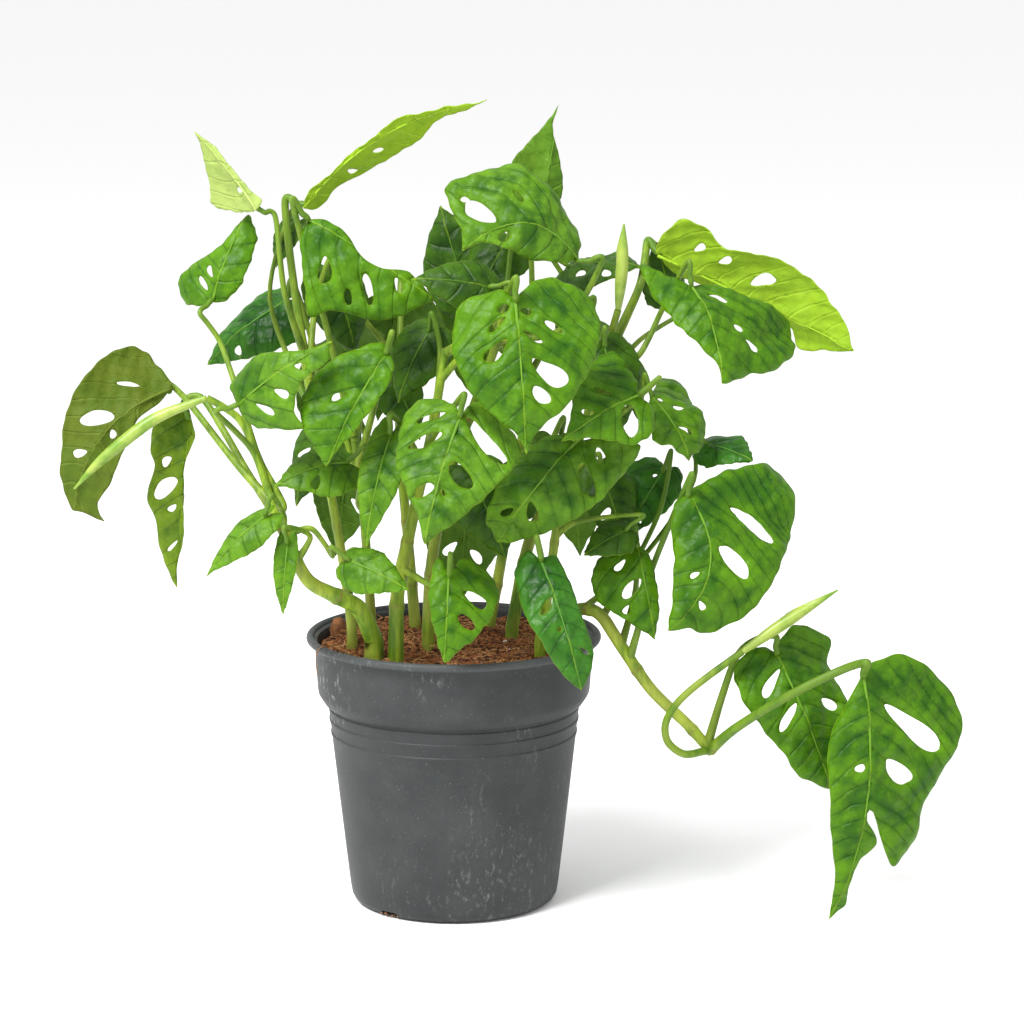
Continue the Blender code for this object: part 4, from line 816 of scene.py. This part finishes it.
def stem_line(name, foot_radius, end_radius, path):
    """A stem from its root in the soil, with a swollen, scarred ring at every joint."""
    path = [path[0] + Vector((0, 0, -depth)) for depth in (0.014, 0.006)] + path
    gap = 0.048 + 0.012 * math.sin(len(name) * 1.7)
    line, walked = [], 0.0
    for i, point in enumerate(path):
        walked += (point - path[max(i - 1, 0)]).length
        off = abs((walked / gap + 0.5) % 1.0 - 0.5) * gap
        radius = foot_radius + (end_radius - foot_radius) * (i / (len(path) - 1))
        ring = math.exp(-(off / 0.0022) ** 2)
        line.append((point, radius * 0.001 * (1.02 + 0.14 * ring),
                     max(0.0, 1 - off / 0.0014) * 0.9, 0.0))
    end, radius = line[-1][:2]
    ahead = (path[-1] - path[-3]).normalized()
    return line + [(end + ahead * 0.0008, radius * 0.8, 1.0, 0.0),
                   (end + ahead * 0.0011, radius * 0.4, 1.0, 0.0)]


def stalk_line(blade, start, lead, via, fused, old):
    """A leaf stalk from its stem to the underside of its blade, darker with age."""
    facing = blade.normal(0.0015, 0.0)
    under = blade.at(0.0015, 0.0) - facing * (0.0 if fused else 0.0018)
    back = ((blade.at(0.002, 0.0) - blade.at(0.0, 0.0)).normalized() * 0.62
            + facing * 0.78).normalized()
    stops = [start] + ([seen(*v) for v in via] or [start + lead * 0.02])
    stops += [under - back * 0.012, under - back * 0.005, under]
    path = smooth_path(smooth_path(stops, 2), 4)
    if not fused:
        path.append(under + facing * 0.0010 + back * 0.0004)
    line = []
    for i, point in enumerate(path):
        t = i / (len(path) - 1)
        radius = 0.0009 + 0.0100 * blade.length + 0.0011 * math.exp(-t / 0.14)
        radius += 0.00030 * math.exp(-((t - 0.93) / 0.035) ** 2)
        radius -= 0.0040 * blade.length * max(0.0, t - 0.80) / 0.20
        scar = 0.6 * math.exp(-((t - 0.015) / 0.012) ** 2)
        line.append((point, radius, scar, min(0.85, old + 0.9 * t)))
    return line


blades = {row[0]: Blade(row[0], *row[3:9]) for row in LEAVES}
for name, foot_radius, end_radius, places in STEMS:
    coarse = smooth_path([seen(*p) for p in places], 3)
    lines = [stem_line(name, foot_radius, end_radius, smooth_path(coarse, 8))]
    old = 0.50 if name == "stem_trailing" else 0.15
    for leaf, stem, share, joint, tip, face, halves, bow, fold, via, holes in LEAVES:
        if stem == name:
            lines.append(stalk_line(blades[leaf], *point_along(coarse, share), via,
                                    leaf.startswith("inner"), old))
    for spear, stem, share, places, stalk_stops in SPEARS:
        if stem == name:
            stops = [point_along(coarse, share)[0]] + [seen(*p) for p in places[:stalk_stops]]
            path = smooth_path(smooth_path(stops, 2), 4)
            lines.append([(p, 0.0023 - 0.0003 * i / len(path), 0.0, old)
                          for i, p in enumerate(path)])
    tubes(name.replace("stem_", "") + "_stem", lines, [name])

# The leaves
# Thin living blades, heart-shaped with a drawn-out tip, quilted between sunken side veins
# and pierced by long holes along them; glossy above, paler and matt below.
def leaf_paint(name, deep, light, below, rough=0.44):
    paint = Paint(name, rough, 0.19)
    across, inward = paint.attribute("plan")[1:]
    under, lean = paint.attribute("side")[:2]
    to_vein = paint.math('PINGPONG', lean, 0.5)
    out = paint.math('ABSOLUTE', across)
    # Side veins are narrow and fade toward the edge and in patches; the midrib is pale.
    fade = paint.times(paint.ramp(out, 0.8, 4.5, 1.0, 0.4),
                       paint.ramp(paint.noise(55, 2, 0.5), 0.40, 0.60, 0.30, 1.0))
    vein = paint.times(paint.ramp(to_vein, 0.008, 0.045, 1.0, 0.0), fade)
    midrib = paint.ramp(out, 0.022, 0.065, 1.0, 0.0)
    net = paint.node("ShaderNodeTexVoronoi", {"feature": 'DISTANCE_TO_EDGE'}, i0=paint.place(),
                     i2=190.0).outputs[0]
    mesh = paint.ramp(net, 0.0, 0.10, 0.5, 0.0)
    blotch = paint.math('ADD', paint.times(paint.noise(38, 5, 0.62), 0.6),
                        paint.times(paint.noise(150, 4, 0.6), 0.4))
    bright = [min(1.0, c * 1.5 + 0.01) for c in light[:2]] + [light[2]]
    pale = [0.5 * c + 0.5 * p for c, p in zip(light, (0.40, 0.60, 0.04))]
    colour = paint.mix(paint.ramp(blotch, 0.42, 0.60), deep, light)
    colour = paint.mix(paint.ramp(inward, 0.05, 0.9, 0.40, 0.0), colour, bright)
    colour = paint.mix(paint.times(paint.ramp(to_vein, 0.05, 0.46), 0.14), colour, bright)
    colour = paint.mix(paint.times(vein, 0.60), colour, [c * 0.6 for c in deep])
    colour = paint.mix(paint.times(mesh, 0.35), colour, deep)
    colour = paint.mix(paint.times(midrib, 0.45), colour, pale)
    colour = paint.mix(paint.ramp(inward, 0.0, 0.05, 0.4, 0.0), colour, (0.30, 0.44, 0.02))
    lower = paint.mix(paint.ramp(blotch, 0.42, 0.60, 0.0, 0.35), below, deep)
    lower = paint.mix(paint.times(paint.math('MAXIMUM', vein, midrib), 0.7), lower,
                      [c * 1.5 + 0.01 for c in below])
    colour = paint.mix(under, colour, lower)
    sunken = paint.math('SUBTRACT', paint.ramp(to_vein, 0.0, 0.11), paint.times(midrib, 0.5))
    normal = paint.bump(sunken, 0.0006, 0.7)
    normal = paint.bump(paint.ramp(net, 0.0, 0.30), 0.0003, 0.5, normal)
    normal = paint.bump(paint.noise(110, 3, 0.5), 0.0016, 0.6, normal)
    paint.put(paint.shader.inputs["Roughness"], paint.mix(under, (rough,) * 3, (0.62,) * 3))
    paint.finish(colour, normal)
    # A fifth of the light passes through the blade.
    glow = paint.node("ShaderNodeBsdfTranslucent", i0=paint.mix(0.5, colour, (0.26, 0.56, 0.005)))
    both = paint.node("ShaderNodeMixShader", i0=0.20, i1=paint.shader.outputs[0],
                      i2=glow.outputs[0])
    paint.put(paint.tree.nodes["Material Output"].inputs[0], both.outputs[0])
    return paint.material


# The deep paint is partly the deeper green of older leaves and partly painted shade: its dark tones
# stand in for the shade inside the foliage, on the inner leaves and the small leaves in the middle.
LEAF_PAINTS = {
    "deep": leaf_paint("leaf_deep_and_shade", (0.012, 0.045, 0.002), (0.040, 0.110, 0.005),
                       (0.05, 0.13, 0.008)),
    "mid": leaf_paint("leaf_mid", (0.020, 0.085, 0.002), (0.092, 0.215, 0.010),
                      (0.10, 0.21, 0.015)),
    "fresh": leaf_paint("leaf_fresh", (0.016, 0.082, 0.001), (0.070, 0.185, 0.002),
                        (0.10, 0.22, 0.012)),
    "young": leaf_paint("leaf_young", (0.13, 0.28, 0.004), (0.33, 0.47, 0.015),
                        (0.29, 0.46, 0.02), 0.46),
    "pale": leaf_paint("leaf_pale", (0.17, 0.27, 0.045), (0.36, 0.46, 0.12),
                       (0.34, 0.44, 0.11), 0.5),
    "olive": leaf_paint("leaf_olive", (0.040, 0.105, 0.003), (0.125, 0.205, 0.010),
                        (0.090, 0.130, 0.008), 0.46),
    "cool": leaf_paint("leaf_cool", (0.008, 0.055, 0.004), (0.035, 0.145, 0.012),
                       (0.06, 0.17, 0.02), 0.36),
}
LOOKS = {"young": (3, 13), "pale": (1,), "olive": (26, 28), "cool": (17, 37, 23, 31),
         "fresh": (2, 5, 8, 10, 14, 16, 18, 19, 22, 25, 35, 36), "deep": (4, 6, 9, 11, 15, 38, 40)}


def smooth_ring(ring, sharp, step):
    """The closed line made round through its points, but sharp at some of them."""
    count, out = len(ring), []
    for i in range(count):
        p, q, r, s = (ring[(i + d) % count] for d in (-1, 0, 1, 2))
        if i in sharp:
            p = 2 * q - r
        if (i + 1) % count in sharp:
            s = 2 * r - q
        out += curve_between(p, q, r, s, max(1, round(math.dist(q, r) / step)))
    return out


def within_many(places, ring):
    """Which of the places lie inside a closed line."""
    x, y = places.T
    inside = np.zeros(len(x), bool)
    for (x1, y1), (x2, y2) in zip(ring, np.roll(ring, -1, axis=0)):
        if y1 != y2:
            inside ^= ((y1 > y) != (y2 > y)) & (x < (x2 - x1) * (y - y1) / (y2 - y1) + x1)
    return inside


def on_blade(places, outline, rings):
    """Which of the places lie within the outline and in none of the holes."""
    inside = within_many(places, outline)
    for ring in rings:
        inside &= ~within_many(places, ring)
    return inside


def off_fence(places, fence):
    """How far each place lies from the nearest point of the edge and the holes."""
    return np.sqrt(((places[:, None] - fence[None]) ** 2).sum(2)).min(1)


# One side of the common form of a leaf, as shares of its length and of its half width.
HALF_OUTLINE = [(0, 0), (-.10, .20), (-.125, .48), (-.03, .80), (.16, .99), (.38, .96),
                (.60, .72), (.79, .41), (.92, .14)]
GRID = 0.0016


def leaf_edge(blade):
    """The corners of a leaf's edge in its plan, as drawn or of the common form."""
    length = blade.length
    if blade.drawn:
        edge = [np.array((0.0, 0.0))] + [np.array(blade.under(*s)) for s in blade.drawn]
        at_tip = min(range(len(edge)), key=lambda i: math.dist(edge[i], (length, 0)))
        edge[at_tip] = np.array((length, 0.0))
    else:
        edge = [np.array((a * length, b * blade.halves[1])) for a, b in HALF_OUTLINE]
        at_tip = len(edge)
        edge.append(np.array((length, 0.0)))
        edge += [np.array((a * length, -b * blade.halves[0]))
                 for a, b in reversed(HALF_OUTLINE[1:])]
    return edge, at_tip


def rippled(blade, edge, at_tip):
    """The edge made round except at joint and tip, and very slightly uneven."""
    outline = np.array(smooth_ring(edge, {0, at_tip}, GRID))
    turn = np.arange(len(outline)) * math.tau / len(outline)
    ripple = 0.00035 * np.sin(11 * turn + blade.phase) + 0.0003 * np.sin(23 * turn)
    return outline + (outline - outline.mean(axis=0)) / blade.length * (ripple * 2.2)[:, None]


def hole_ring(a, b, turn, long, wide, count):
    """Points around a hole, drawn out toward the edge of the leaf."""
    angle = np.arange(count) * math.tau / count
    uneven = 1 + 0.10 * np.sin(2 * angle + a * 900) + 0.07 * np.sin(3 * angle + b * 700)
    u = long * np.cos(angle) * uneven
    v = wide * np.sin(angle) * (1.0 + 0.25 * np.cos(angle)) * uneven
    return np.stack([a + u * math.cos(turn) - v * math.sin(turn),
                     b + u * math.sin(turn) + v * math.cos(turn)], axis=1)


def open_holes(blade, holes, edge):
    """The rings of a leaf's holes, each small enough to clear edge, midrib and the others."""
    middle = np.array((blade.length * 0.4, float(blade.midrib(blade.length * 0.4))))
    limit = middle + (np.array(edge) - middle) * 0.93
    clearance = 0.0008
    kept, rings = [], []
    for right, down, long, wide in holes:
        a, b = blade.under(right, down)
        way = 1 if b > blade.midrib(a) else -1
        turn = math.radians(62 - 30 * max(0.0, a / blade.length)) * way
        long, wide = long * 0.00034, wide * 0.00042
        while long > 0.0012:
            near = hole_ring(a, b, turn, long + clearance, wide + clearance, 10)
            clear = (near[:, 1] - blade.midrib(near[:, 0])) * way > 0.0010
            if (clear.all() and within_many(near, limit).all()
                    and not any(within_many(near, o).any() or within_many(o, near).any()
                                for o in kept)):
                kept.append(hole_ring(a, b, turn, long, wide, 6))
                rings.append(hole_ring(a, b, turn, long, wide, max(14, int(long / 0.00035))))
                break
            long *= 0.9
            wide *= 0.92
    return rings


def filled_plan(blade, outline, rings):
    """Rows of points and triangles over the plan, with one row along the midrib."""
    low, high = outline.min(axis=0), outline.max(axis=0)
    u, v = np.meshgrid(np.arange(low[0], high[0], GRID), np.arange(low[1], high[1], GRID * .87))
    u = u + (np.arange(u.shape[0])[:, None] % 2) * GRID / 2
    spots = np.stack([u.ravel(), v.ravel()], 1)
    spots = spots[on_blade(spots, outline, rings)]
    fence = np.concatenate([outline] + rings)
    spots = spots[(off_fence(spots, fence) > GRID * 0.55)
                  & (np.abs(spots[:, 1] - blade.midrib(spots[:, 0])) > GRID * 0.5)]
    along = np.arange(GRID, blade.length - GRID, GRID)
    spine = np.stack([along, blade.midrib(along)], 1)
    spine = spine[within_many(spine, outline)]
    edges, first = [], 0
    for ring in [outline] + rings:
        edges += [(first + i, first + (i + 1) % len(ring)) for i in range(len(ring))]
        first += len(ring)
    edges += [(first + i, first + i + 1) for i in range(len(spine) - 1)]
    plan = delaunay_2d_cdt([Vector(s) for s in np.concatenate([fence, spine, spots])], edges,
                           [], 1, 1e-7)
    flat = np.array([(p[0], p[1]) for p in plan[0]])
    cells = np.array(plan[2])
    cells = cells[on_blade(flat[cells].mean(axis=1), outline, rings)]
    return flat, cells, off_fence(flat, fence)


def vein_count(blade, a, b, out):
    """A whole number on each side vein and a half between two; the veins curve forward."""
    wander = 0.20 * np.sin(a * 110 + blade.phase) + 0.08 * np.sin(b * 210 + 2.0 * blade.phase)
    lean = (a * 100 - out * 0.42 - out * out * 0.13) * 0.85 + wander
    return lean + np.where(b > blade.midrib(a), 0.37, 0.0)


def quilting(blade, a, b, out, lean, off, inner, size):
    """How far a blade swells between its veins and rolls down at its margins."""
    between = 0.5 - np.abs(lean % 1.0 - 0.5)
    swell = 0.0006 * size * inner * np.minimum(1.0, between / 0.20) ** 0.8
    swell -= 0.0009 * np.exp(-(out / 0.12) ** 2) * inner
    swell += 0.0013 * size * np.sin(a * 190 + blade.phase) * np.sin(b * 170 + 1.0)
    swell -= 0.0008 * size * np.exp(-off / 0.0020)
    swell += 0.0006 * size * np.sin(a * 520 + b * 210) * np.sin(b * 480 - a * 160 + blade.phase)
    return swell


def shell(blade, surface, cells, thick):
    """The upper and lower faces about a surface, joined all around its borders."""
    corner = surface[cells]
    facing = np.cross(corner[:, 1] - corner[:, 0], corner[:, 2] - corner[:, 0])
    if (facing.sum(axis=0) @ np.array(blade.up)) < 0:
        cells, facing = cells[:, ::-1], -facing
    normal = np.zeros_like(surface)
    for k in range(3):
        np.add.at(normal, cells[:, k], facing)
    normal /= np.maximum(np.linalg.norm(normal, axis=1), 1e-12)[:, None]
    count = len(surface)
    faces = cells.tolist() + (cells[:, ::-1] + count).tolist()
    used = {(f[i], f[(i + 1) % 3]) for f in cells.tolist() for i in range(3)}
    for i, j in sorted(used):
        if (j, i) not in used:
            faces += [(j, i, i + count), (j, i + count, j + count)]
    return np.concatenate([surface + normal * thick, surface - normal * thick]), faces


RIDGE_STEPS, RIDGE_SIDES, RIDGE_RADIUS = 30, 8, 0.0009


def tube_faces(first, steps, sides):
    """The faces of a closed tube whose points are laid ring after ring."""
    faces = []
    for i in range(steps - 1):
        for k in range(sides):
            p, q = first + i * sides + k, first + i * sides + (k + 1) % sides
            faces.append((p, q, q + sides, p + sides))
    return faces + [tuple(range(first + sides - 1, first - 1, -1)),
                    tuple(range(first + (steps - 1) * sides, first + steps * sides))]


def midrib_ridge(blade, outline, size):
    """The midrib stands out below as a tapering ridge, as far as it lies within the edge."""
    along = np.linspace(0.0005, blade.length * 0.97, 90)
    inside = within_many(np.stack([along, blade.midrib(along)], 1), outline)
    runs = np.split(np.arange(90), np.flatnonzero(np.diff(inside)) + 1)
    run = max((r for r in runs if inside[r[0]]), key=len)
    along = np.linspace(along[run[0]], along[run[-1]], RIDGE_STEPS)
    path = blade.at_many(along, blade.midrib(along), -0.0004)
    ahead = np.gradient(path, axis=0)
    ahead /= np.linalg.norm(ahead, axis=1)[:, None]
    flank = np.cross(ahead, np.array(blade.up)[None])
    flank /= np.linalg.norm(flank, axis=1)[:, None]
    below = np.cross(flank, ahead)
    radii = np.linspace(1.0, 0.15, RIDGE_STEPS) * RIDGE_RADIUS * (0.6 + 0.4 * size)
    turns = np.arange(RIDGE_SIDES) * math.tau / RIDGE_SIDES
    return np.concatenate([
        path[i] + radii[i] * np.array([math.cos(g) * flank[i] + math.sin(g) * below[i]
                                       for g in turns]) for i in range(RIDGE_STEPS)])


for leaf, stem, share, joint, tip, face, halves, bow, fold, via, holes in LEAVES:
    blade = blades[leaf]
    edge, at_tip = leaf_edge(blade)
    outline = rippled(blade, edge, at_tip)
    flat, cells, off = filled_plan(blade, outline, open_holes(blade, holes, edge))
    a, b = flat.T
    beside = b - blade.midrib(a)
    out = np.abs(beside) * 100
    lean = vein_count(blade, a, b, out)
    inner, size = np.clip(off / 0.005, 0, 1), min(1.0, max(halves) / 30)
    surface = blade.at_many(a, b, quilting(blade, a, b, out, lean, off, inner, size))
    thick = (0.00016 + 0.00024 * inner)[:, None]
    points, faces = shell(blade, surface, cells, thick)
    faces += tube_faces(len(points), RIDGE_STEPS, RIDGE_SIDES)
    points = np.concatenate([points, midrib_ridge(blade, outline, size)])
    # An inner leaf is one CAD solid with its stem, which the stem's piece stands for.
    alone = leaf.startswith("leaf")
    number = int(leaf.split("_")[1])
    # Every inner leaf, and each leaf of the deep look, wears paint darkened partly as painted shade
    # for the inside of the foliage.
    look = next((key for key, who in LOOKS.items() if number in who), "mid")
    item = piece(leaf.replace("leaf", "blade"), points, faces,
                 LEAF_PAINTS[look if alone else "deep"], [leaf] if alone else [])
    # The paint reads on each point how far it is along, beside the midrib and off the edge
    # in cm, whether it is on the lower face, and its vein count.
    total = len(flat)
    plan = np.full((len(points), 3), (50.0, 0.0, 5.0))
    plan[:total] = plan[total:2 * total] = np.stack([a * 100, beside * 100, off * 100], 1)
    side = np.full((len(points), 3), (1.0, 0.5, 0.0))
    side[:total, 0] = 0.0
    side[:total, 1] = side[total:2 * total, 1] = lean
    mark_points(item.data, "plan", plan)
    mark_points(item.data, "side", side)

# The rolled new leaves
# Each newest leaf is still a tight scroll, pale yellow-green and waxy, its free edge
# winding once around the roll, growing out of the end of its stalk.
SCROLL_SIDES = 24
paint = Paint("new_leaf", 0.40, 0.5)
streak = paint.noise(120, 4, 0.6, stretch=(0.5, 0.5, 0.5))
tone = paint.mix(paint.ramp(streak, 0.35, 0.66), (0.12, 0.24, 0.010), (0.30, 0.39, 0.060))
roll_paint = paint.finish(tone, paint.bump(streak, 0.0004, 0.5))
for name, stem, share, places, stalk_stops in SPEARS:
    path = smooth_path(smooth_path([seen(*p) for p in places[stalk_stops - 1:]], 3), 6)
    side, points = Vector((0, 1, 0)), []
    for i, centre in enumerate(path):
        t = i / (len(path) - 1)
        ahead = (path[min(i + 1, len(path) - 1)] - path[max(i - 1, 0)]).normalized()
        side = (side - ahead * side.dot(ahead)).normalized()
        other = ahead.cross(side)
        radius = 0.0006 + 0.0031 * math.sin(math.pi * min(1.0, 0.10 + 0.92 * t))
        for k in range(SCROLL_SIDES):
            angle = math.tau * k / SCROLL_SIDES
            wound = (angle / math.tau - 0.55 * t + 0.1) % 1.0
            reach = radius * (0.86 + 0.26 * wound)
            points.append(centre + (side * math.cos(angle) + other * math.sin(angle)) * reach)
    piece(name.replace("spear", "scroll"), points, tube_faces(0, len(path), SCROLL_SIDES),
          roll_paint, [name])

# The studio
# A pale floor and soft light from all around, with a large lamp above the left shoulder.
floor = put_in("floor", bpy.data.meshes.new("floor"))
floor.data.from_pydata([(-9, -4, 0), (9, -4, 0), (9, 18, 0), (-9, 18, 0)], [], [(0, 1, 2, 3)])
floor.data.materials.append(Paint("floor_paper", 0.9, 0.2).finish((0.98, 0.98, 0.98)))
world = bpy.data.worlds.new("studio")
world.use_nodes = True
background = world.node_tree.nodes["Background"]
background.inputs["Color"].default_value = (1, 1, 1, 1)
background.inputs["Strength"].default_value = 0.95
bpy.context.scene.world = world
bpy.context.scene.view_settings.view_transform = 'Standard'
LIT = Vector((0.02, 0, 0.25))
for name, place, size, watts in (("key", (-0.9, -1.1, 1.9), 0.9, 75.0),
                                 ("fill", (1.5, -1.2, 1.2), 1.2, 4.0)):
    lamp = bpy.data.lights.new(name, 'AREA')
    lamp.size, lamp.energy = size, watts
    item = put_in(name, lamp)
    item.location = place
    item.rotation_euler = (LIT - Vector(place)).to_track_quat('-Z', 'Y').to_euler()
